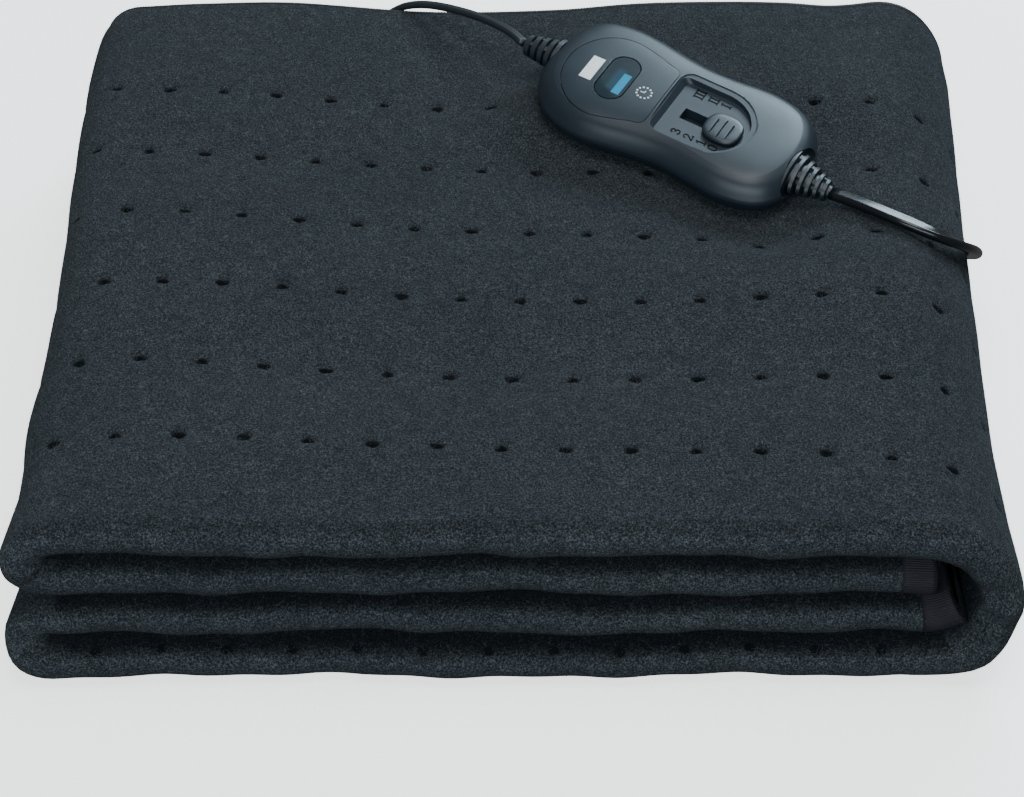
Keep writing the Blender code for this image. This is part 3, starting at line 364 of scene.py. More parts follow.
# ---- node materials --------------------------------------------------------------------------------------
class Finish:
    """A node material in the making: add() puts in a node, with its inputs' values or links."""

    def __init__(self, name, colour, roughness, **inputs):
        self.material = bpy.data.materials.new(name)
        self.material.use_nodes = True
        self.tree = self.material.node_tree
        self.shader = self.tree.nodes["Principled BSDF"]
        self.set(self.shader, {"Base Color": (*colour, 1.0), "Roughness": roughness, **inputs})
        self.place = self.add("ShaderNodeTexCoord").outputs["Object"]

    def set(self, node, inputs):
        for key, value in inputs.items():
            if isinstance(value, bpy.types.NodeSocket):
                self.tree.links.new(value, node.inputs[key])
            else:
                node.inputs[key].default_value = value

    def add(self, kind, inputs=None, **settings):
        node = self.tree.nodes.new(kind)
        for key, value in settings.items():
            setattr(node, key, value)
        self.set(node, inputs or {})
        return node

    def noise(self, scale, detail=2.0, rough=0.5, stretch=None):
        place = self.place
        if stretch:
            place = self.add("ShaderNodeMapping", {"Vector": place, "Scale": stretch}).outputs[0]
        inputs = {"Vector": place, "Scale": scale, "Detail": detail, "Roughness": rough}
        return self.add("ShaderNodeTexNoise", inputs).outputs["Fac"]

    def attribute(self, name):
        return self.add("ShaderNodeAttribute", attribute_name=name).outputs["Fac"]

    def ramp(self, value, *stops):
        node = self.add("ShaderNodeValToRGB", {"Fac": value})
        elements = node.color_ramp.elements
        while len(elements) < len(stops):
            elements.new(0.5)
        for element, (at, colour) in zip(elements, stops):
            element.position = at
            element.color = (*colour, 1.0)
        return node.outputs["Color"]

    def math(self, operation, a, b=0.0, c=0.0):
        return self.add("ShaderNodeMath", {0: a, 1: b, 2: c}, operation=operation).outputs[0]

    def vector(self, operation, a, b):
        return self.add("ShaderNodeVectorMath", {0: a, 1: b}, operation=operation)

    def mixed(self, share, a, b, blend="MIX"):
        inputs = {0: share, 6: a, 7: b}
        return self.add("ShaderNodeMix", inputs, data_type="RGBA", blend_type=blend).outputs[2]

    def look(self, **inputs):
        """Sets the shader's inputs, with _ for a space in their names."""
        self.set(self.shader, {name.replace("_", " "): value for name, value in inputs.items()})

    def bump(self, height, strength, distance):
        inputs = {"Height": height, "Strength": strength, "Distance": distance}
        self.look(Normal=self.add("ShaderNodeBump", inputs).outputs["Normal"])


def fleece():
    """Brushed pile: fine tufts, pale fibre ends, and a slow mottle where the pile lies differently, with
    painted light on the cloth's sides and painted shade in crevices and weld pits.
    """
    it = Finish("fleece", (0.020, 0.025, 0.030), 0.95)
    it.look(Sheen_Weight=0.06, Sheen_Roughness=0.60, Sheen_Tint=(0.55, 0.64, 0.72, 1.0))
    it.look(Specular_IOR_Level=0.10)
    tufts = it.noise(1300.0, 3.0, 0.75)
    fibres = it.noise(1900.0, 2.0, 0.6, stretch=(1.0, 0.35, 1.0))
    mottle = it.noise(190.0, 4.0, 0.7)
    slow = it.noise(14.0)
    dark, middle, pale = (0.0046, 0.0054, 0.0061), (0.0158, 0.0184, 0.0206), (0.0620, 0.0700, 0.0760)
    base = it.ramp(tufts, (0.38, dark), (0.50, middle), (0.64, pale))
    ends = it.ramp(fibres, (0.56, (0.0, 0.0, 0.0)), (0.68, (0.066, 0.074, 0.080)))
    pile = it.mixed(0.5, base, ends, "ADD")
    shade = it.ramp(mottle, (0.32, (0.74, 0.75, 0.77)), (0.68, (1.26, 1.26, 1.25)))
    drift = it.ramp(slow, (0.25, (0.88, 0.90, 0.92)), (0.75, (1.12, 1.11, 1.10)))
    # The pile's colour times the mottle, the drift and the mesh's painted light and shade
    for factor in (shade, drift, it.attribute(PAINTED_LIGHT_ATTRIBUTE)):
        pile = it.mixed(1.0, pile, factor, "MULTIPLY")
    # Painted shade: the pile goes near black in the weld pits, with a ragged edge
    ragged_pit_shade = it.math("ADD", it.attribute(PIT_SHADE_MASK), it.math("MULTIPLY_ADD", tufts, 0.9, -0.45))
    black = it.ramp(ragged_pit_shade, (0.30, (0.0, 0.0, 0.0)), (0.50, (1.0, 1.0, 1.0)))
    it.look(Base_Color=it.mixed(black, pile, (0.0009, 0.0010, 0.0012, 1.0)))
    it.bump(it.math("ADD", tufts, it.math("MULTIPLY", fibres, 0.7)), 0.9, 0.0012)
    return it.material


def moulded(name, colour, roughness, grain=2600.0):
    """Spark-eroded plastic: a fine even grain, and gloss that wanders a little."""
    it = Finish(name, colour, roughness)
    patches = it.noise(60.0)
    it.look(Roughness=it.math("MULTIPLY_ADD", patches, 0.10, roughness - 0.05))
    darker, lighter = ([share * c for c in colour] for share in (0.92, 1.08))
    it.look(Base_Color=it.ramp(patches, (0.2, darker), (0.8, lighter)))
    it.bump(it.noise(grain, 1.0), 0.35, 0.00004)
    return it.material


def cable(name, colour, roughness):
    """Glossy plastic sheath with faint scuffs along it."""
    it = Finish(name, colour, roughness)
    scuffs = it.noise(240.0, 3.0, 0.7)
    it.look(Roughness=it.math("MULTIPLY_ADD", scuffs, 0.16, roughness - 0.08), Specular_IOR_Level=0.45)
    it.bump(scuffs, 0.10, 0.00006)
    return it.material


def printed(name, colour):
    """Screen print: a slightly uneven film of paint."""
    it = Finish(name, colour, 0.55)
    film = it.noise(1400.0)
    it.look(Base_Color=it.ramp(film, (0.25, [0.86 * c for c in colour]), (0.75, colour)))
    it.look(Specular_IOR_Level=0.12)
    it.bump(film, 0.15, 0.00003)
    return it.material


def metal(name, colour):
    """Bright metal, brushed across."""
    it = Finish(name, colour, 0.25, Metallic=1.0)
    brushed = it.noise(700.0, 2.0, 0.6, stretch=(0.1, 1.0, 1.0))
    it.look(Roughness=it.math("MULTIPLY_ADD", brushed, 0.25, 0.14))
    it.bump(brushed, 0.10, 0.00005)
    return it.material


def controller_axes():
    """The directions of u, w and height. The first two aren't square to each other."""
    lean = Matrix.Rotation(TILT, 3, "X")
    flat = [Vector((cos(turn), sin(turn), 0)) for turn in (LONG_AXIS, CROSS_AXIS)]
    return [lean @ axis for axis in (*flat, Vector((0, 0, 1)))]


def soft_patch(it, places, patch):
    """1 inside a rectangle on the controller, falling to 0 over the patch's blur inside its edges."""
    shares = []
    for value, centre, half in zip(places, (patch["u"], patch["w"]), (patch["half_u"], patch["half_w"])):
        away = it.math("ABSOLUTE", it.math("SUBTRACT", value, centre))
        share = it.math("DIVIDE", it.math("SUBTRACT", half, away), patch["blur"])
        shares.append(it.add("ShaderNodeClamp", {"Value": share}).outputs[0])
    return it.math("MULTIPLY", *shares)


def display(name):
    """Smoked window over a cyan light bar, with the bar's pale ghost beside it."""
    it = Finish(name, (0.012, 0.022, 0.030), 0.24)
    first, second, _ = controller_axes()
    normal = first.cross(second)
    duals = [second.cross(normal) / normal.dot(normal), normal.cross(first) / normal.dot(normal)]
    away = it.vector("SUBTRACT", it.place, CONTROLLER_BASE).outputs[0]
    places = [it.vector("DOT_PRODUCT", away, dual).outputs["Value"] for dual in duals]
    glow, ghost = soft_patch(it, places, GLOW), soft_patch(it, places, GHOST)
    it.look(Base_Color=it.ramp(it.noise(90.0), (0.3, (0.010, 0.019, 0.025)), (0.7, (0.014, 0.025, 0.032))))
    faint = it.mixed(ghost, (0.0, 0.0, 0.0, 1.0), (0.0, 0.030, 0.055, 1.0))
    it.look(Emission_Color=it.mixed(glow, faint, (0.0, 0.285, 0.55, 1.0)), Emission_Strength=1.0)
    it.look(Specular_IOR_Level=0.25)
    return it.material


# ---- the shape of the folded cloth -----------------------------------------------------------------------
def under_controller(x, y):
    """Where a place lies along and across the controller, and the height of the underside there."""
    first, second, _ = controller_axes()
    base_x, base_y, base_z = CONTROLLER_BASE
    x, y = x - base_x, y - base_y
    turn = first.x * second.y - first.y * second.x
    u = (x * second.y - y * second.x) / turn
    w = (y * first.x - x * first.y) / turn
    return u, w, base_z + u * first.z + w * second.z


def rise(x, y):
    """How far the top stands over an even stack: its relief, with the controller's bed pressed into it."""
    rows = np.array([curve_through(RELIEF_X, row[1:], x) for row in RELIEF_MM])
    own = curve_through([row[0] for row in RELIEF_MM], rows, y) / 1000
    u, w, underside = under_controller(x, y)
    past_end = np.maximum(0.0, abs(u - SHELL_CENTRE[0]) - BED["half_u"])
    past_side = np.maximum(0.0, abs(w - SHELL_CENTRE[1]) - BED["half_w"])
    share = ease(1 - np.hypot(past_end, past_side) / BED["skirt"])
    return mix(own, underside - BED["clear"] - STACK_HEIGHT, share)


def fold_x(y):
    return along(LEFT_EDGE, y) + FOLD_OUTSIDE


def wrap_x(y):
    return along(RIGHT_EDGE, y) - WRAP_OUTSIDE


def settle(x, y, z):
    """Moves points of the even stack to where the uneven cloth really lies."""
    right = ease((x - wrap_x(y)) / SAG_WIDTH)
    left = ease((fold_x(y) - x) / FOLD_OUTSIDE)
    height = np.maximum(0.0, 1 - z / STACK_HEIGHT)
    low_height = np.maximum(0.0, 1 - z / (LEAF_PITCH + 2 * HALF_LEAF))
    spread = along(RIGHT_SAG, y) * right * height**SAG_FADE - LEFT_SAG * left * low_height**SAG_FADE
    share = np.maximum(0.0, z / STACK_HEIGHT) ** SINK
    return x + spread, y, z + rise(x, y) * share


def on_top(place, y):
    """x, z and outward direction of the top leaf's middle. place runs on round the outside of its bends."""
    left, right = fold_x(y), wrap_x(y)
    fold_turn = np.maximum(0.0, left - place) / FOLD_OUTSIDE
    wrap_turn = np.maximum(0.0, place - right) / WRAP_OUTSIDE
    x = np.clip(place, left, right) - FOLD_RADIUS * np.sin(fold_turn) + WRAP_RADIUS * np.sin(wrap_turn)
    drop = FOLD_RADIUS * (1 - np.cos(fold_turn)) + WRAP_RADIUS * (1 - np.cos(wrap_turn))
    out_x, out_z = np.sin(wrap_turn) - np.sin(fold_turn), np.cos(wrap_turn + fold_turn)
    return x, HALF_LEAF + LEVEL["top"] - drop, out_x, out_z


def leaf_middle(zone, place, y):
    """x, z and outward direction of the middle of a leaf, for a place in one zone of the sheet."""
    left, right = fold_x(y), wrap_x(y)
    flat = np.zeros_like(y)
    low_left = left - along(LOWER_FOLD_OUT, y)
    if zone == "second":
        height = HALF_LEAF + LEVEL["second"] - SECOND_END["drop"] * (1 - place) ** SECOND_END["fade"]
        return mix(right + SECOND_END["past"], left, place), height + flat, flat, flat - 1.0
    if zone == "bottom":
        return place + flat, HALF_LEAF + flat, flat, flat - 1.0
    if zone == "lower fold":
        turn = -pi / 2 - pi * place
        height = HALF_LEAF + (LEVEL["third"] + LEVEL["bottom"]) / 2
        out_x, out_z = cos(turn), sin(turn)
        return low_left + FOLD_RADIUS * out_x, height + FOLD_RADIUS * out_z + flat, flat + out_x, flat + out_z
    if zone == "third":
        x = mix(low_left, right + THIRD_END["past"], place)
        near_end = (x - right + THIRD_END["from"]) / (THIRD_END["past"] + THIRD_END["from"])
        near_end = np.clip(near_end, 0.0, 1.0)
        slope = THIRD_END["slope"] * near_end
        height = HALF_LEAF + LEVEL["third"] + THIRD_END["lift"] * near_end ** THIRD_END["curl"]
        return x, height, -np.sin(slope), np.cos(slope)
    return on_top(place, y)


def column_x(column, y):
    return WELD_CENTRE[0] + (column - CENTRE_COLUMN) * WELD_PITCH_X + COLUMN_LEAN * (y - WELD_CENTRE[1])


def column_of(place, y):
    return CENTRE_COLUMN + (place - WELD_CENTRE[0] - COLUMN_LEAN * (y - WELD_CENTRE[1])) / WELD_PITCH_X


def row_y(row, x):
    return WELD_CENTRE[1] + (row - CENTRE_ROW) * WELD_PITCH_Y - ROW_LEAN * (x - WELD_CENTRE[0])


def row_of(x, y):
    return CENTRE_ROW + (y - WELD_CENTRE[1] + ROW_LEAN * (x - WELD_CENTRE[0])) / WELD_PITCH_Y


def zone_place(zone, share, y):
    """Where a station lies: on the top leaf's developed line for the outer zones, else its own share."""
    if zone == "upper fold":
        return mix(fold_x(y) - pi * FOLD_OUTSIDE, column_x(TOP_COLUMNS[0], y), share)
    if zone == "wrap":
        return mix(column_x(TOP_COLUMNS[1], y), wrap_x(y) + pi * WRAP_OUTSIDE, share)
    return column_x(share, y) if zone == "top" else share


def stations():
    """(zone, place) for each cross-section, from the hidden end of the second leaf to that of the third."""
    out = [("second", k / END_STEPS) for k in range(END_STEPS)]
    out += [("upper fold", k / FOLD_STEPS) for k in range(FOLD_STEPS)]
    first, last = TOP_COLUMNS
    steps = [offset / (1000 * WELD_PITCH_X) for offset in STATION_OFFSETS]
    columns = sorted(column + step for column in range(int(first), int(last) + 1) for step in steps)
    out += [("top", column) for column in columns if first <= column <= last]
    out += [("wrap", (k + 1) / WRAP_STEPS) for k in range(WRAP_STEPS)]
    fronts = [FRONT_WELD["first_x"] + FRONT_WELD["pitch"] * k for k in range(FRONT_WELD["count"])]
    fronts = [x + offset / 1000 for x in fronts for offset in STATION_OFFSETS]
    out += [("bottom", x) for x in sorted(fronts, reverse=True) if x < fronts[-1] - 0.001]
    out += [("lower fold", k / FOLD_STEPS) for k in range(FOLD_STEPS + 1)]
    return out + [("third", (k + 1) / END_STEPS) for k in range(END_STEPS)]


def ring_points():
    """(kind, place, role) round one leaf. A place is a row, an angle of the nose or a share of an edge."""
    first, last = WELD_ROWS
    steps = [offset / (1000 * WELD_PITCH_Y) for offset in ROW_OFFSETS]
    rows = sorted((row + step for row in range(first, last + 1) for step in steps), reverse=True)
    ring = [("row", row, "outer") for row in [last + past for past in LAST_ROWS] + rows]
    ring += [("nose", 90 - 180 * k / NOSE_STEPS, "nose") for k in range(NOSE_STEPS + 1)]
    ring += [("row", row, "inner") for row in INNER_ROWS]
    ring += [("edge", k / EDGE_STEPS, "inner edge") for k in range(EDGE_STEPS + 1)]
    ring += [("row", row, "inner slit") for row in SLIT_ROWS]
    ring += [("bend", 0.0, "slit")]
    ring += [("row", row, "outer slit") for row in reversed(SLIT_ROWS)]
    return ring + [("edge", k / EDGE_STEPS, "outer edge") for k in range(EDGE_STEPS + 1)]


def wander(at, level, line):
    """A smooth uneven line: the sum of a few waves of (length, size), whose phases differ by the level."""
    seed = line["seed"] + line["by_level"] * level / LEVEL["top"]
    total = 0.0
    for k, (length, size) in enumerate(line["waves"]):
        total = total + size * np.sin(2 * pi * at / length + 1.7 * seed + 2.3 * k + 0.6 * seed * k)
    return total


def welds(column, row):
    """How deep the welds draw the cloth in, with short creases out from each, and how much is in a weld."""
    near_column = np.clip(np.round(column), *WELD_COLUMNS)
    near_row = np.clip(np.round(row), *WELD_ROWS)
    across = (column - near_column) * WELD_PITCH_X
    up = (row - near_row) * WELD_PITCH_Y
    own = 2.1 * near_column + 3.7 * near_row
    away = np.hypot(across * (0.80 + 0.10 * np.sin(own)), up * (1.05 + 0.12 * np.cos(1.7 * own)))
    angle = np.arctan2(up, across)
    creases = 0.5 + 0.5 * np.cos(3 * angle + own + 0.8 * np.sin(2 * angle + own))
    core = np.exp(-((away / (WELD["radius"] * (1 + 0.25 * creases))) ** 4))
    dish = WELD["dish"] * np.exp(-((away / WELD["dish_radius"]) ** 2))
    return WELD["depth"] * (1 + 0.15 * np.sin(5.0 * own)) * core + dish, core


def crevice_shade_and_pinch(zone, roles, is_nose, values):
    """How much painted shade each ring place gets for lying in a crevice, and which places draw in beside it.
    """
    up = UPPER_SIDE_OF.get(zone, 0)
    turned = np.where(is_nose, np.abs(values), np.where((roles == "outer") | (roles == "inner"), 90.0, 0.0))
    side = np.where(is_nose, np.sign(values), np.where(roles == "outer", 1, -1))
    if zone in ("top", "upper fold", "lower fold"):
        return 0.55 * (side < 0) * ease((turned - 60) / 30), 0.0
    if zone == "wrap":
        return 1.0 * (side < 0) * ease((turned - 25) / 45), 0.0
    above = (side == up) * ease((turned - 26) / 46)
    return np.maximum(above, 0.5 * (side != up) * ease((turned - 66) / 24)), above


def station_level(zone, share):
    """Rough height of the leaf's middle, which its nose and its cut edge follow."""
    zero = np.zeros(1)
    return float(leaf_middle(zone, zone_place(zone, share, zero), zero)[1][0]) - HALF_LEAF


def cloth_points():
    """Points of every station and ring place, how far each is in a weld, and how much painted shade each gets
    for lying in a crevice.
    """
    kinds, values, roles = (np.array(column) for column in zip(*ring_points()))
    is_nose, turn, edge_turn = kinds == "nose", np.radians(values), pi * values
    heights = {
        "outer": HALF_LEAF, "inner": -HALF_LEAF, "outer slit": SLIT / 2, "inner slit": -SLIT / 2,
        "nose": HALF_LEAF * np.sin(turn), "inner edge": -SLIT / 2 - PLY / 2 * (1 + np.cos(edge_turn)),
        "outer edge": SLIT / 2 + PLY / 2 * (1 - np.cos(edge_turn)),
    }
    flat_height = np.select([roles == role for role in heights], list(heights.values()))
    outside = (roles == "outer") | (is_nose & (values > 0))
    underside = (roles == "inner") | (is_nose & (values < 0))
    inside_slit = np.isin(roles, ("slit", "inner slit", "outer slit"))
    over_nose = np.where(is_nose, np.sin(np.radians(np.clip(values, 0, 90))), 1.0)
    bottom_from = max(share for zone, share in stations() if zone == "bottom")
    out = []
    for zone, share in stations():
        level = station_level(zone, share)
        tall = level / LEVEL["top"]
        nose = along(NOSE_LINE, tall)
        fixed_y = np.where(is_nose, nose - HALF_LEAF * np.cos(turn), nose - SLIT / 2)
        for role, wave in (("inner edge", cos(11 * tall)), ("outer edge", sin(9 * tall))):
            back = BACK_Y - BACK_STAGGER * (0.5 + 0.5 * wave)
            fixed_y = np.where(roles == role, back - EDGE_ROUND * (1 - np.sin(edge_turn)), fixed_y)
        x = np.zeros(len(roles))
        for _ in range(3):
            y = np.where(kinds == "row", row_y(values, x), fixed_y)
            place = zone_place(zone, share, y)
            x, z, out_x, out_z = leaf_middle(zone, place, y)
        height, pit = flat_height, np.zeros(len(roles))
        if zone in OUTER_ZONES:
            column = column_of(place, y)
            row = row_of(np.clip(place, -0.25, 0.25), y)
            soft = PUFF * (np.sin(pi * row) ** 2 + np.sin(pi * column) ** 2) / 2
            sunk, core = welds(column, row)
            height = height + np.where(outside, (soft - sunk) * over_nose, 0.0)
            pit = np.where(outside, core, 0.0)
        if zone == "bottom":
            near = (share - FRONT_WELD["first_x"]) / FRONT_WELD["pitch"]
            near = (near - np.clip(np.round(near), 0, FRONT_WELD["count"] - 1)) * FRONT_WELD["pitch"]
            away = np.hypot(near, HALF_LEAF * np.radians(values - FRONT_WELD["angle"]))
            pit = np.where(is_nose, np.exp(-((away / FRONT_WELD["radius"]) ** 3)), 0.0)
            y = y + FRONT_WELD["depth"] * pit * np.cos(turn)
        # dark is the painted shade of a crevice; pinched draws the cloth in beside it
        dark, pinched = crevice_shade_and_pinch(zone, roles, is_nose, values)
        near_nose = np.clip((nose + NOSE_REACH - y) / NOSE_REACH, 0.0, 1.0)
        hang = near_nose * (NOSE_DROP + wander(x, level, HANG))
        if zone == "second":
            height = height + np.where(outside, hang, 0.0)
        elif zone == "bottom":
            pinched = pinched * ease((bottom_from - share) / PINCH["fade"])
        else:
            height = height - np.where(underside, hang, 0.0)
        height = height - np.sign(height) * pinched * near_nose * PINCH["deep"]
        forward = np.clip((nose + BULGE_REACH["from"] - y) / BULGE_REACH["over"], 0.0, 1.0)
        bulge = wander(x, level, BULGE) * forward ** BULGE_REACH["power"]
        y = y - np.where(inside_slit, 0.0, bulge)
        out.append((np.stack(settle(x + out_x * height, y, z + out_z * height), axis=-1), pit, dark))
    return (np.array(column) for column in zip(*out))


def grid_normals(points):
    """Outward directions of the cloth's grid of points."""
    ahead = np.gradient(points, axis=0)
    round_leaf = np.roll(points, -1, axis=1) - np.roll(points, 1, axis=1)
    normals = np.cross(round_leaf, ahead)
    normals /= np.maximum(np.linalg.norm(normals, axis=-1, keepdims=True), 1e-12)
    on_the_top = [zone for zone, _ in stations()].index("top") + 10
    return normals if normals[on_the_top, 20, 2] > 0 else -normals


def blanket(finish):
    points, pits, crevice_shades = cloth_points()
    made = tube_mesh("fleece_blanket", points, finish)
    normals = grid_normals(points)
    # Painted light and shade in the pile's colour: brighter where the cloth faces sideways, darker in crevices,
    # darkest on the cut ends
    painted_shading = (1 + PAINTED_SIDE_LIGHT * ease((0.88 - abs(normals[..., 2])) / 0.6)) * (1 - CREVICE_PAINTED_SHADE * crevice_shades)
    painted_shading[0] = painted_shading[-1] = DEEP_SHADE
    for name, values in ((PIT_SHADE_MASK, pits), (PAINTED_LIGHT_ATTRIBUTE, painted_shading)):
        made.data.attributes.new(name, "FLOAT", "POINT").data.foreach_set("value", values.reshape(-1))
    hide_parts("blanket")
    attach(made, CLOTH_BODY)
    return made, points, normals


# ---- threads and loose fibres ----------------------------------------------------------------------------
def read_grid(grid, rows_at, ring_at):
    """Reads the cloth's grid between its points, at every pair of places."""
    low = np.clip(np.floor(rows_at).astype(int), 0, len(grid) - 2)
    near = np.floor(ring_at).astype(int)
    across, along_rows = (ring_at - near)[None, :, None], (rows_at - low)[:, None, None]
    near, far = near % grid.shape[1], (near + 1) % grid.shape[1]
    first, second = grid[low], grid[low + 1]
    low_side, high_side = (mix(row[:, near], row[:, far], across) for row in (first, second))
    return mix(low_side, high_side, along_rows)


def evenly(line, places, pitch):
    """Places along a line of points, several to each pitch, and how high the thread stands at each."""
    reach = reach_along(line)
    at = np.arange(0.0, reach[-1], pitch / THREAD_STEPS)
    return np.interp(at, reach, places), np.abs(np.sin(pi * at / pitch)) ** 0.7


def stitched_band(name, cloth_grid, normals, rows_at, ring_at, ridges, finish):
    """A thin band of thread ridges on the cloth. ridges is how far each place stands up."""
    base = read_grid(cloth_grid, rows_at, ring_at)
    out = read_grid(normals, rows_at, ring_at)
    out /= np.linalg.norm(out, axis=-1, keepdims=True)
    top, low = base + out * ridges[..., None], base - out * BAND_SUNK
    made = tube_mesh(name, np.concatenate([top, low[:, ::-1]], axis=1), finish)
    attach(made, CLOTH_BODY)
    return made


def overlock(cloth_grid, normals, finish):
    """The thread bound round the back edge of the outer ply."""
    zones = [zone for zone, _ in stations()]
    first, last = zones.index("upper fold") + 1, zones.index("bottom") - 1
    end = cloth_grid.shape[1] - 1
    rows_at, ridge = evenly(cloth_grid[first:last, end], np.arange(first, last), OVERLOCK["pitch"])
    past = OVERLOCK["on_top"]
    ring_at = np.array([*np.linspace(end - EDGE_STEPS, end, 7), end + past / 2, end + past])
    fade = np.array([0.4, 1.0, 1.0, 1.0, 1.0, 1.0, 1.0, 0.9, 0.2])
    ridges = OVERLOCK["size"] * ridge[:, None] * fade
    return stitched_band("back_overlock", cloth_grid, normals, rows_at, ring_at, ridges, finish)


def end_strip(name, zone, cloth_grid, normals, finish):
    """The bound end of an inner leaf, near its nose, with threads that run along the leaf."""
    rows = [k for k, (own, _) in enumerate(stations()) if own == zone]
    rows = np.array(rows if zone == "second" else rows[::-1])
    nose = [k for k, (kind, _, _) in enumerate(ring_points()) if kind == "nose"]
    middle = nose[len(nose) // 2]
    reach = np.abs(cloth_grid[rows, middle, 0] - cloth_grid[rows[0], middle, 0])
    rows_at = np.interp(np.linspace(END_STRIP["start"], END_STRIP["wide"], 7), reach, rows.astype(float))
    span = np.arange(nose[0] - END_STRIP["rows"], nose[-1] + 4)
    ring_at, ridge = evenly(cloth_grid[rows[2], span], span, END_STRIP["pitch"])
    fade = np.array([0.5, 1.0, 1.0, 1.0, 1.0, 1.0, 0.3])
    ridges = END_STRIP["size"] * ridge * fade[:, None]
    return stitched_band(name, cloth_grid, normals, rows_at, ring_at, ridges, finish)


def fuzz(name, cloth_grid, normals, finish, count, seed):
    """Loose fibre ends that lie on the cloth's visible sides, each one narrow triangle."""
    chance = np.random.default_rng(seed)
    outer = np.isin([zone for zone, _ in stations()], OUTER_ZONES)[:, None]
    roles = np.array([role for _, _, role in ring_points()])
    shown = (outer & (roles == "outer")) | (roles == "nose")
    ahead = cloth_grid[1:] - cloth_grid[:-1]
    across = np.roll(cloth_grid, -1, axis=1) - cloth_grid
    area = np.linalg.norm(np.cross(ahead, across[:-1]), axis=-1)
    area = area * shown[:-1] * (cloth_grid[:-1, :, 2] > FUZZ["lowest"])
    picked = chance.choice(area.size, size=count, p=area.reshape(-1) / area.sum())
    row, place = np.unravel_index(picked, area.shape)
    shift, slide = chance.random((2, count, 1))
    base = cloth_grid[row, place] + ahead[row, place] * shift + across[row, place] * slide
    out = normals[row, place]
    level = np.cross(out, chance.normal(size=(count, 3)))
    level /= np.linalg.norm(level, axis=1, keepdims=True)
    side = np.cross(out, level) * FUZZ["wide"] / 2
    reach = chance.uniform(FUZZ["short"], FUZZ["long"], (count, 1))
    tip = base + (level + out * FUZZ["lift"] * chance.random((count, 1))) * reach
    points = np.stack([base - side, base + side, tip], axis=1).reshape(-1, 3)
    mesh = bpy.data.meshes.new(name)
    mesh.from_pydata(points.tolist(), [], np.arange(3 * count).reshape(-1, 3).tolist())
    mesh.materials.append(finish)
    made = link(name, mesh)
    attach(made, CLOTH_BODY)
    return made


# ---- the controller, built in its own axes (u, w, height) ------------------------------------------------
def half_width(u):
    for (start, wide), (end, next_wide) in zip(HALF_WIDTHS, HALF_WIDTHS[1:]):
        if start <= u < end:
            return mix(wide, next_wide, (1 - cos(pi * (u - start) / (end - start))) / 2)
    return HALF_WIDTHS[0][1] if u < 0 else HALF_WIDTHS[-1][1]


def end_round(u, side):
    power = END_POWER["right"] if u > 0 else END_POWER["far left" if side > 0 else "near left"]
    return sqrt(max(0.0, 1 - abs(u / (LENGTH / 2)) ** power))


def even_loop(points, count):
    """count points spaced evenly along a closed line through points."""
    line = np.array([*points, points[0]])
    reach = reach_along(line)
    at = np.linspace(0.0, reach[-1], count, endpoint=False)
    return [Vector((np.interp(a, reach, line[:, 0]), np.interp(a, reach, line[:, 1]))) for a in at]


def drawn_in(points, inset):
    """A closed line moved inward by inset."""
    out = []
    for k, point in enumerate(points):
        tangent = points[(k + 1) % len(points)] - points[k - 1]
        out.append(point - Vector((tangent.y, -tangent.x)).normalized() * inset)
    return out


def shell_line():
    """The shells' outline, round its own middle."""
    fine = []
    for turn in turns(6 * SHELL_POINTS):
        u = LENGTH / 2 * cos(turn)
        side = 1 if sin(turn) >= 0 else -1
        fine.append((u, side * half_width(u) * end_round(u, side)))
    return even_loop(fine, SHELL_POINTS)


def side_levels(table, steps):
    """A smooth run of (height, inset) through the side's table, spaced evenly along it."""
    rows = np.array(table)
    reach = reach_along(rows)
    at = np.linspace(0.0, reach[-1], steps)
    return list(zip(*(curve_through(reach, column, at) for column in rows.T)))


def inset_of(places, line):
    """How far places lie inside a closed line."""
    start = np.array([tuple(point) for point in line])
    span = np.roll(start, -1, axis=0) - start
    away = places[:, None, :] - start[None]
    share = np.clip((away * span).sum(-1) / (span * span).sum(-1), 0.0, 1.0)
    return np.sqrt((((away - share[..., None] * span) ** 2).sum(-1)).min(axis=1))


def crown(u, w):
    """How far the top falls at (u, w) from its middle."""
    along_it = (u - SHELL_CENTRE[0]) / (LENGTH / 2)
    across_it = (w - SHELL_CENTRE[1]) / HALF_WIDTHS[0][1]
    return CROWN * (along_it**2 + across_it**2)


def centred(ring):
    """Moves a ring from the middle of the outline to its place on the controller."""
    return [(u + SHELL_CENTRE[0], w + SHELL_CENTRE[1], height) for u, w, height in ring]


def tube(bm, rings, last_lid=True):
    """Adds a tube through rings of equally many points, with its lids, and returns its last row."""
    rows = [[bm.verts.new(point) for point in ring] for ring in rings]
    for low, high in zip(rows, rows[1:]):
        for k in range(len(low)):
            after = (k + 1) % len(low)
            bm.faces.new((low[k], low[after], high[after], high[k]))
    bm.faces.new(rows[0])
    if last_lid:
        bm.faces.new(rows[-1])
    return rows[-1]


def loft(rings, mirrored_lid=False):
    """A closed bmesh through rings of equally many points. A mirrored lid joins the last ring's two sides."""
    bm = bmesh.new()
    last = tube(bm, rings, last_lid=not mirrored_lid)
    if mirrored_lid:
        for k in range(len(last) // 2):
            lid = [last[k], last[k + 1], last[-k - 1], last[-k % len(last)]]
            bm.faces.new(list(dict.fromkeys(lid)))
    return bm


def prism(outline, bottom, top=ABOVE):
    return loft([[(*point, height) for point in outline] for height in (bottom, top)])


def rectangle(left, right, half_w):
    return [(left, -half_w), (right, -half_w), (right, half_w), (left, half_w)]


def lower_body(line):
    levels = side_levels(LOWER_SIDE, SIDE_STEPS)
    return loft([centred((p.x, p.y, height) for p in drawn_in(line, inset)) for height, inset in levels])


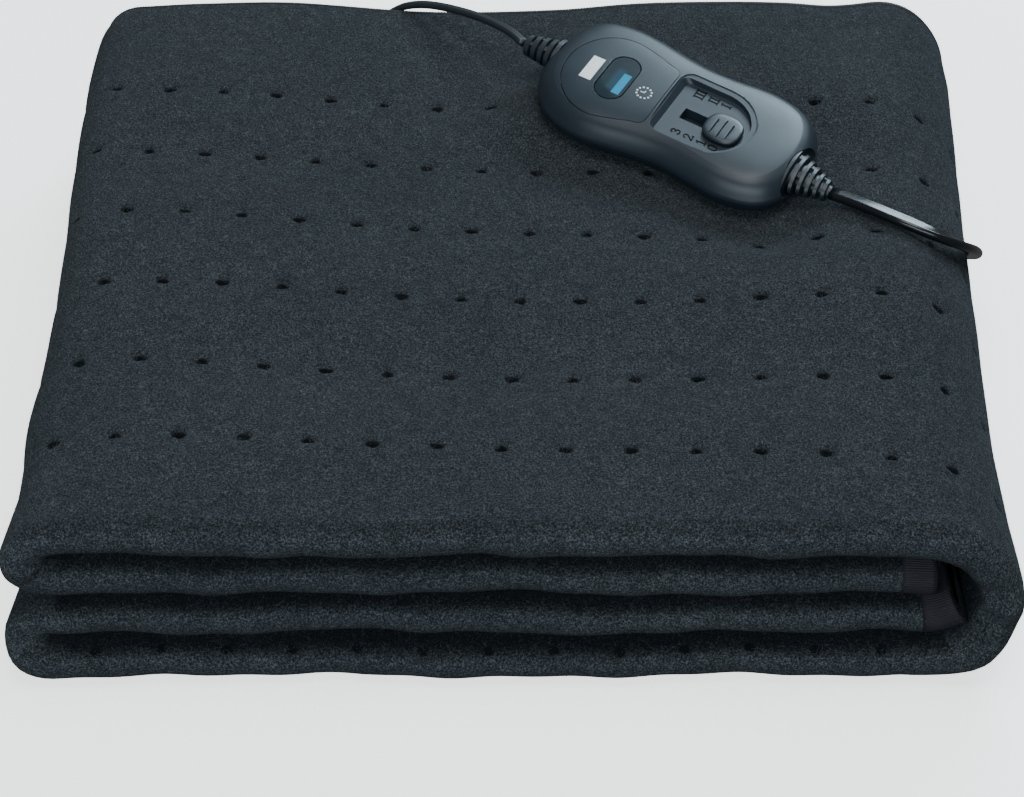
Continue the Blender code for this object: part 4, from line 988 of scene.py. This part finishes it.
def upper_body(line):
    """The upper shell, closed over its top: level rings up its side, then rings drawn in to a spine."""
    rings = []
    for height, inset in side_levels(UPPER_SIDE, SIDE_STEPS):
        fall = ease((height - PARTING) / (CROWN_FROM - PARTING))
        ring = centred((p.x, p.y, height) for p in drawn_in(line, inset))
        rings.append([(u, w, height - fall * crown(u, w)) for u, w, height in ring])
    edge = np.array(rings[-1])[:, :2] - SHELL_CENTRE
    spine = np.stack([np.clip(edge[:, 0], *SPINE), np.zeros(len(edge))], axis=-1)
    for k in range(1, TOP_STEPS + 1):
        places = mix(edge, spine, SPINE_REACH * k / TOP_STEPS)
        heights = along(TOP_SIDE, inset_of(places, line))
        ring = centred((u, w, height) for (u, w), height in zip(places, heights))
        rings.append([(u, w, height - crown(u, w)) for u, w, height in ring])
    return loft(rings, mirrored_lid=True)


def window_outline(grown):
    """A slot shape, longest across the controller."""
    half_u, half_w = WINDOW["half_u"] + grown, WINDOW["half_w"] + grown
    out = []
    for turn in turns(POINTS["window"], 0.5):
        shift = half_w - half_u if sin(turn) > 0 else half_u - half_w
        out.append((WINDOW["u"] + half_u * cos(turn), WINDOW["w"] + shift + half_u * sin(turn)))
    return out


def recess_line(grown, left_in):
    """The recess: a straight left side with rounded corners, and a round right end."""
    left, right, middle = RECESS["left"] - grown + left_in, RECESS["right"] + grown, RECESS["w"]
    half_w, reach, corner = (RECESS[name] + grown for name in ("half_w", "end", "corner"))
    round_end = np.linspace(-pi / 2, pi / 2, POINTS["end"])
    out = [(right - reach * (1 - cos(turn)), middle + half_w * sin(turn)) for turn in round_end]
    for side in (1, -1):
        for turn in np.linspace(0.0, pi / 2, POINTS["corner"]):
            bend = (cos(turn), sin(turn)) if side < 0 else (sin(turn), cos(turn))
            out.append((left + corner * (1 - bend[0]), middle + side * (half_w - corner * (1 - bend[1]))))
    return out


def panel_line(inset):
    """The face panel: a drop shape that follows the left lobe."""
    left, middle, half_w = PANEL["left"] + inset, PANEL["w"], PANEL["half_w"] - inset
    round_end = np.linspace(pi / 2, 3 * pi / 2, POINTS["end"])
    out = [(left + PANEL["round"] * (1 + cos(turn)), middle + half_w * sin(turn)) for turn in round_end]
    places, halves = zip((left + PANEL["round"], PANEL["half_w"]), *PANEL_CORNER[:2])
    steps = np.linspace(places[0], places[-1], POINTS["side"])[1:]
    side = [*zip(steps, curve_through(places, halves, steps)), *PANEL_CORNER[2:]]
    side = [(float(min(u, PANEL["right"] - inset)), float(half - inset)) for u, half in side]
    return out + [(u, middle - half) for u, half in side] + [(u, middle + half) for u, half in side[::-1]]


def raw_piece(name, bm, finish):
    """An object from a bmesh in the controller's own axes."""
    axes = Matrix(controller_axes()).transposed().to_4x4()
    axes.translation = Vector(CONTROLLER_BASE)
    bmesh.ops.recalc_face_normals(bm, faces=bm.faces)
    mesh = bpy.data.meshes.new(name)
    bm.to_mesh(mesh)
    bm.free()
    mesh.transform(axes)
    mesh.materials.append(finish)
    mesh.shade_smooth()
    return link(name, mesh)


def settled(piece, sharp_edges):
    """Replaces a piece's mesh by what its modifiers make of it."""
    graph = bpy.context.evaluated_depsgraph_get()
    made = bpy.data.meshes.new_from_object(piece.evaluated_get(graph))
    piece.modifiers.clear()
    piece.data = made
    if sharp_edges:
        made.set_sharp_from_angle(angle=SHARP)


def placed(name, bm, finish, node=None, body=CLOTH_BODY, cutters=(), keep=None, round_edges=0.0):
    """A piece from a bmesh, carved, with its edges rounded, and set in its place; the node it stands for is
    hidden.
    """
    made = raw_piece(name, bm, finish)
    tools = [("DIFFERENCE", cutter) for cutter in cutters] + ([("INTERSECT", keep)] if keep else [])
    helpers = [raw_piece(f"{name}_cutter_{k}", tool, finish) for k, (_, tool) in enumerate(tools)]
    for helper, (operation, _) in zip(helpers, tools):
        modifier = made.modifiers.new(helper.name, "BOOLEAN")
        modifier.operation = operation
        modifier.object = helper
    if round_edges:
        bevel = made.modifiers.new("edges", "BEVEL")
        bevel.width = round_edges
        bevel.segments = 2
        bevel.limit_method = "ANGLE"
        bevel.angle_limit = SHARP
        made.modifiers.new("normals", "WEIGHTED_NORMAL")
    settled(made, not round_edges)
    for helper in helpers:
        bpy.data.objects.remove(helper)
    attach(made, body)
    if node:
        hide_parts(node)
    return made


def stroke_bars(bm, line):
    """A line of even width through points (u, w), raised from the recess's floor."""
    half = DIGIT["stroke"] / 2
    for start, end in zip(line, line[1:]):
        start, end = Vector(start), Vector(end)
        ahead = (end - start).normalized()
        side = Vector((-ahead.y, ahead.x)) * half
        lap = ahead * half * DIGIT["lap"]
        corners = (start - lap + side, start - lap - side, end + lap - side, end + lap + side)
        heights = (RECESS["floor"] - LABEL_DEPTH, RECESS["floor"] + LABEL_DEPTH)
        tube(bm, [[(*corner, height) for corner in corners] for height in heights])


def dial_labels(finish):
    """Plain step numbers moulded in the recess's floor. Their tops point to the left lobe."""
    bm = bmesh.new()
    tall, wide = DIGIT["tall"], DIGIT["wide"]
    for digit, u in DIAL["at"]:
        for line in STROKES[digit]:
            places = [(u + tall * (0.5 - up), DIAL["w"] + wide * (across - 0.5)) for across, up in line]
            stroke_bars(bm, places)
    for bars, u in STEPS["at"]:
        ends = (u - tall / 2, u + tall / 2)
        for k in range(bars):
            w = STEPS["w"] + (k - (bars - 1) / 2) * STEPS["pitch"]
            stroke_bars(bm, [(end, w) for end in ends])
            for end in ends:
                stroke_bars(bm, ((end, w - STEPS["serif"]), (end, w + STEPS["serif"])))
    return placed("dial_labels", bm, finish)


def on_panel(u, w, lift):
    return SHELL_TOP - crown(u, w) + lift


def status_plate(finish):
    """A thin bare plate, let into the face panel."""
    rings = []
    for lift, inset in PLATE_EDGE:
        half_u, half_w = PLATE["half_u"] - inset, PLATE["half_w"] - inset
        corners = [(PLATE["u"] + a * half_u, b * half_w) for a, b in PLATE_CORNERS]
        rings.append([(u, w, on_panel(u, w, lift)) for u, w in corners])
    bm = bmesh.new()
    last = tube(bm, rings, last_lid=False)
    middle = bm.verts.new((PLATE["u"], 0.0, on_panel(PLATE["u"], 0.0, PLATE_EDGE[-1][0])))
    for k in range(len(last)):
        bm.faces.new((last[k], last[(k + 1) % len(last)], middle))
    return placed("bare_plate", bm, finish)


def spot(bm, u, w, radius):
    """A printed dot on the face panel."""
    places = [(u + radius * cos(turn), w + radius * sin(turn)) for turn in turns(PRINT["points"])]
    lifts = (PRINT["under"], PRINT["over"])
    tube(bm, [[(*place, on_panel(*place, lift)) for place in places] for lift in lifts])


def timer_dots(finish):
    """A ring of printed dots with two short hands: a plain timer sign."""
    spots = [(DOTS["radius"], turn, DOTS["size"]) for turn in turns(DOTS["count"])]
    for reach, turn in HANDS:
        shares = np.linspace(0.0, 1.0, HAND["dots"])
        spots += [(reach * share, turn, DOTS["size"] * HAND["size"]) for share in shares]
    bm = bmesh.new()
    for reach, turn, size in spots:
        spot(bm, DOTS["u"] + reach * cos(turn), DOTS["w"] + reach * sin(turn), size)
    return placed("timer_dots", bm, finish)


def knob_body():
    """A low button with flattened sides, soft shoulders and a slightly domed top."""
    power = KNOB["square"]
    line = []
    for turn in turns(POINTS["knob"], 0.5):
        reach = (abs(cos(turn)) ** power + abs(sin(turn)) ** power) ** (-1 / power)
        line.append((reach * cos(turn), reach * sin(turn)))
    rings = []
    for inset, height in KNOB_LEVELS:
        half_u, half_w = KNOB["half_u"] - inset, KNOB["half_w"] - inset
        rings.append([(KNOB["u"] + half_u * a, KNOB["w"] + half_w * b, height) for a, b in line])
    return loft(rings)


def knob_grooves():
    out = []
    levels = ((GRIP["bottom"], KNOB["top"] - GRIP["depth"]), (1.0, KNOB["top"] + GRIP["over"]), (1.0, ABOVE))
    for k in (-1, 0, 1):
        u = KNOB["u"] + k * GRIP["pitch"]
        half_w = GRIP["half_w"] * (GRIP["outer"] if k else 1.0)
        rings = []
        for wide, height in levels:
            half_u = GRIP["half_u"] * wide
            rings.append([(a, b + GRIP["w"], height) for a, b in rectangle(u - half_u, u + half_u, half_w)])
        out.append(loft(rings))
    return out


def oval(u, w, half_w, half_h, angles):
    return [(u, w + half_w * cos(turn), RELIEF_HEIGHT + half_h * sin(turn)) for turn in angles]


def sleeve_size(sleeve, at):
    """Half width and half height of a sleeve's ribs, at ribs from its base. The first one is a collar."""
    if at < COLLAR:
        return sleeve["base"]
    share = (at - COLLAR) / (sleeve["ribs"] - COLLAR)
    return tuple(mix(second, tip, share) for second, tip in zip(sleeve["second"], sleeve["tip"]))


def sleeve_place(sleeve, at):
    share = at / sleeve["ribs"]
    return sleeve["side"] * mix(sleeve["start"], sleeve["end"], share), mix(*sleeve["w"], share)


def strain_relief(name, node, sleeve, finish):
    """A tapered sleeve of flat-topped ribs on a slimmer core, with small bridges in turn between them."""
    wide, full = sleeve["rib"], turns(POINTS["sleeve"])
    rib = ((0.00, CORE_SHARE), (0.04, CORE_SHARE), (0.07, 0.94), (0.11, 1.0), (wide - 0.06, 1.0),
           (wide - 0.02, 0.95), (wide, CORE_SHARE))  # (place in the pitch, share of the full size)
    rings = []
    for k in range(sleeve["ribs"]):
        for at, share in rib:
            sizes = [share * size for size in sleeve_size(sleeve, k + at)]
            rings.append(oval(*sleeve_place(sleeve, k + at), *sizes, full))
    tip = [CORE_SHARE * size for size in sleeve["tip"]]
    rings.append(oval(*sleeve_place(sleeve, sleeve["ribs"]), *tip, full))
    bm = loft(rings)
    for k in range(1, sleeve["ribs"]):
        half_w, half_h = sleeve_size(sleeve, k + BRIDGE["lap"])
        for turn in (BRIDGES[k % 2], BRIDGES[2 + k % 2]):
            low, high = turn - BRIDGE["half_turn"], turn + BRIDGE["half_turn"]
            rings = []
            for at in (wide - BRIDGE["back"], BRIDGE["lap"]):
                place = sleeve_place(sleeve, k + at)
                outer, inner = ((half_w * BRIDGE[name], half_h * BRIDGE[name]) for name in ("outer", "inner"))
                rings.append(oval(*place, *outer, (low, high)) + oval(*place, *inner, (high, low)))
            tube(bm, rings)
    return placed(name, bm, finish, node=node)


def relief_pockets():
    """Cutters for the ends of the shells, a gap wider than the sleeves' collars."""
    out = []
    for sleeve in (LEFT_RELIEF, RIGHT_RELIEF):
        sizes = [size + GAP for size in sleeve["base"]]
        ends = [sleeve["side"] * (sleeve["start"] - GAP), sleeve["side"] * PAST_END]
        out.append(loft([oval(u, sleeve["w"][0], *sizes, turns(POINTS["sleeve"])) for u in ends]))
    return out


def recess_cutters():
    """The recess with its sloping walls, and the shallow step round it, just outside them."""
    walls = []
    for height, grown, left_in in RECESS_WALLS:
        walls.append([(*place, height) for place in recess_line(grown, left_in)])
    line = [(u, w + RIM["shift"]) for u, w in recess_line(RIM["wide"], RIM["left"])]
    step = [(u, w, SHELL_TOP - RIM["step"] - crown(u, w)) for u, w in line]
    return [loft(walls), loft([step, [(u, w, ABOVE) for u, w in line]])]


def controller(shell, panel, glass, knob, rubber, label, plate, print_white):
    line = shell_line()
    slot_cutter = prism(rectangle(SLOT["left"], SLOT["right"], SLOT["half_w"]), SLOT["floor"])
    placed("lower_shell", lower_body(line), shell, node="controller_lower_shell",
           cutters=relief_pockets())
    placed("upper_shell", upper_body(line), shell, node="controller_upper_shell",
           round_edges=EDGES["shell"],
           cutters=[*recess_cutters(), slot_cutter, prism(panel_line(0.0), PANEL_FLOOR), *relief_pockets()])
    placed("face_panel", upper_body(line), panel, node="controller_face_panel",
           round_edges=EDGES["panel"], keep=prism(panel_line(GAP), PANEL_FLOOR + GAP),
           cutters=[prism(window_outline(WINDOW["gap"]), 0.0)])
    placed("window_pane", upper_body(line), glass, node="controller_window",
           round_edges=EDGES["window"], keep=prism(window_outline(0.0), PANEL_FLOOR + GAP, WINDOW["top"]))
    placed("switch_knob_cap", knob_body(), knob, node="slider_knob", body=KNOB_BODY,
           round_edges=EDGES["knob"], cutters=knob_grooves())
    strain_relief("left_relief", "relief_left", LEFT_RELIEF, rubber)
    strain_relief("right_relief", "relief_right", RIGHT_RELIEF, rubber)
    dial_labels(label)
    status_plate(plate)
    timer_dots(print_white)


# ---- the leads -------------------------------------------------------------------------------------------
def coil_route():
    """The wound turns, from where the lead meets the coil to where its tail leaves."""
    start = atan2(MAINS_LEAD[-1][1] - COIL["y"], MAINS_LEAD[-1][0] - COIL["x"])
    laps, radii, heights = zip(*WINDING)
    steps = round(laps[-1] * COIL["steps"])
    out = []
    for k in range(1, steps):
        lap = laps[-1] * k / steps
        low = max(j for j in range(len(laps) - 1) if laps[j] <= lap)
        share = float(ease((lap - laps[low]) / (laps[low + 1] - laps[low])))
        radius, height = mix(radii[low], radii[low + 1], share), mix(heights[low], heights[low + 1], share)
        angle = start + 2 * pi * lap
        out.append(Vector((COIL["x"] + radius * cos(angle), COIL["y"] + radius * sin(angle), height)))
    return out


def flat_section(size):
    """A flat twin lead's section: two round cores side by side, with a groove between them."""
    core = size["half_height"]
    out = []
    for turn in turns(POINTS["lead"], 0.5):
        shift = (size["half_width"] - core) * (1 if cos(turn) > 0 else -1)
        groove = GROOVE["size"] * max(0.0, 1 - abs(cos(turn)) / GROOVE["wide"])
        across = shift * (1 - GROOVE["in"] * groove) + core * cos(turn)
        out.append((across, core * sin(turn) * (1 - groove * GROOVE["down"])))
    return out


def swept(name, path, section, finish):
    """A tube of the given section along path. Its width stays level."""
    rings = []
    for k, point in enumerate(path):
        ahead = (path[min(k + 1, len(path) - 1)] - path[max(k - 1, 0)]).normalized()
        side = ahead.cross(Vector((0, 0, 1))).normalized()
        up = side.cross(ahead)
        rings.append([point + side * a + up * b for a, b in section])
    return tube_mesh(name, rings, finish)


def lead(name, route, size, finish, stands_for, **facts):
    """A lead along its route, with what it stands for and its measures."""
    path = smooth_route(route, size["step"])
    made = swept(name, path, flat_section(size), finish)
    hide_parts(*stands_for)
    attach(made, CLOTH_BODY)


# ---- camera, light and floor -----------------------------------------------------------------------------
def camera():
    data = bpy.data.cameras.new("camera")
    data.sensor_width = SENSOR
    data.lens = FOCAL_PIXELS / PHOTO_WIDTH * data.sensor_width
    made = link("camera", data)
    forward = Vector((0, cos(CAMERA_DOWN), -sin(CAMERA_DOWN)))
    made.location = Vector(CAMERA_AIM) - forward * CAMERA_AWAY
    made.rotation_euler = (pi / 2 - CAMERA_DOWN, 0, 0)
    bpy.context.scene.camera = made


def softbox(name, place, aim, size, power, colour):
    data = bpy.data.lights.new(name, "AREA")
    data.shape = "RECTANGLE"
    data.size, data.size_y = size
    data.energy = power
    data.color = colour
    made = link(name, data)
    made.location = place
    made.rotation_euler = (Vector(aim) - Vector(place)).to_track_quat("-Z", "Y").to_euler()


def studio():
    """Three softboxes, a faint even sky, and a glowing white floor that throws no light on the blanket."""
    world = bpy.data.worlds.new("studio")
    world.use_nodes = True
    background = world.node_tree.nodes["Background"]
    background.inputs["Color"].default_value = WORLD["colour"]
    background.inputs["Strength"].default_value = WORLD["strength"]
    bpy.context.scene.world = world
    for box in SOFTBOXES:
        softbox(*box)
    mesh = bpy.data.meshes.new("floor")
    half = STAGE["half"]
    corners = rectangle(-half, half, half)
    mesh.from_pydata([(*corner, STAGE["z"]) for corner in corners], [], [(0, 1, 2, 3)])
    it = Finish("floor_white", (0.90, 0.90, 0.90), 0.55)
    it.look(Emission_Color=(1.0, 1.0, 1.0, 1.0), Emission_Strength=STAGE["glow"])
    mesh.materials.append(it.material)
    made = link("floor", mesh)
    made.visible_diffuse = False
    made.visible_glossy = False


# ---- the whole -------------------------------------------------------------------------------------------
camera()
studio()
FLEECE = fleece()
SHELL = moulded("shell_plastic", (0.0122, 0.0196, 0.0272), 0.42)
PANEL_GREY = moulded("panel_plastic", (0.0130, 0.0214, 0.0296), 0.35)
GLASS = display("window_plastic")
KNOB_GREY = moulded("knob_plastic", (0.0128, 0.0200, 0.0268), 0.36)
RUBBER = moulded("relief_rubber", (0.0118, 0.0172, 0.0228), 0.44, grain=1800.0)
LABEL = printed("label_black", (0.0016, 0.0020, 0.0024))
PLATE_WHITE = printed("plate_white", (0.94, 0.95, 0.97))
PRINT_WHITE = printed("print_white", (0.82, 0.85, 0.88))
CABLE = cable("cable_black", (0.0070, 0.0084, 0.0100), 0.22)
LEAD = moulded("lead_grey", (0.016, 0.021, 0.025), 0.42, grain=1800.0)
EDGE_THREAD = moulded("edge_thread", (0.0044, 0.0037, 0.0050), 0.75)
BINDING = moulded("binding_thread", (0.0080, 0.0054, 0.0112), 0.74)
PALE_FIBRE = Finish("fibre_pale", (0.088, 0.101, 0.111), 0.9).material
DARK_FIBRE = Finish("fibre_dark", (0.0050, 0.0062, 0.0075), 0.9).material
PLUG = moulded("plug_black", (0.012, 0.013, 0.015), 0.34)
PIN = metal("pin_metal", (0.78, 0.75, 0.70))

controller(SHELL, PANEL_GREY, GLASS, KNOB_GREY, RUBBER, LABEL, PLATE_WHITE, PRINT_WHITE)
CAD_FINISHES = {"coil_tie": RUBBER, "plug_body": PLUG, "plug_pin_near": PIN, "plug_pin_far": PIN}
for name, finish in CAD_FINISHES.items():
    for slot in nodes[name].material_slots:
        slot.material = finish

cloth, cloth_grid, cloth_normals = blanket(FLEECE)
dressing = [
    overlock(cloth_grid, cloth_normals, EDGE_THREAD),
    end_strip("second_leaf_binding", "second", cloth_grid, cloth_normals, BINDING),
    end_strip("third_leaf_binding", "third", cloth_grid, cloth_normals, BINDING),
    fuzz("pale_fuzz", cloth_grid, cloth_normals, PALE_FIBRE, 85000, 11),
    fuzz("dark_fuzz", cloth_grid, cloth_normals, DARK_FIBRE, 50000, 12),
]

mains_route = [*MAINS_LEAD, *coil_route()[2::4], *PLUG_TAIL]
plug_pieces = [nodes[name] for name in ("plug_body", "plug_pin_near", "plug_pin_far", "coil_tie")]
lead("mains_cord", mains_route, FLAT_LEAD, CABLE, ("mains_lead", "mains_coil", "plug_tail"),
     far_end="plug", stiffness="medium", with_pieces=plug_pieces)
lead("blanket_cord", BLANKET_LEAD, SLIM_LEAD, LEAD, ("blanket_lead",), far_end="object", stiffness="limp")
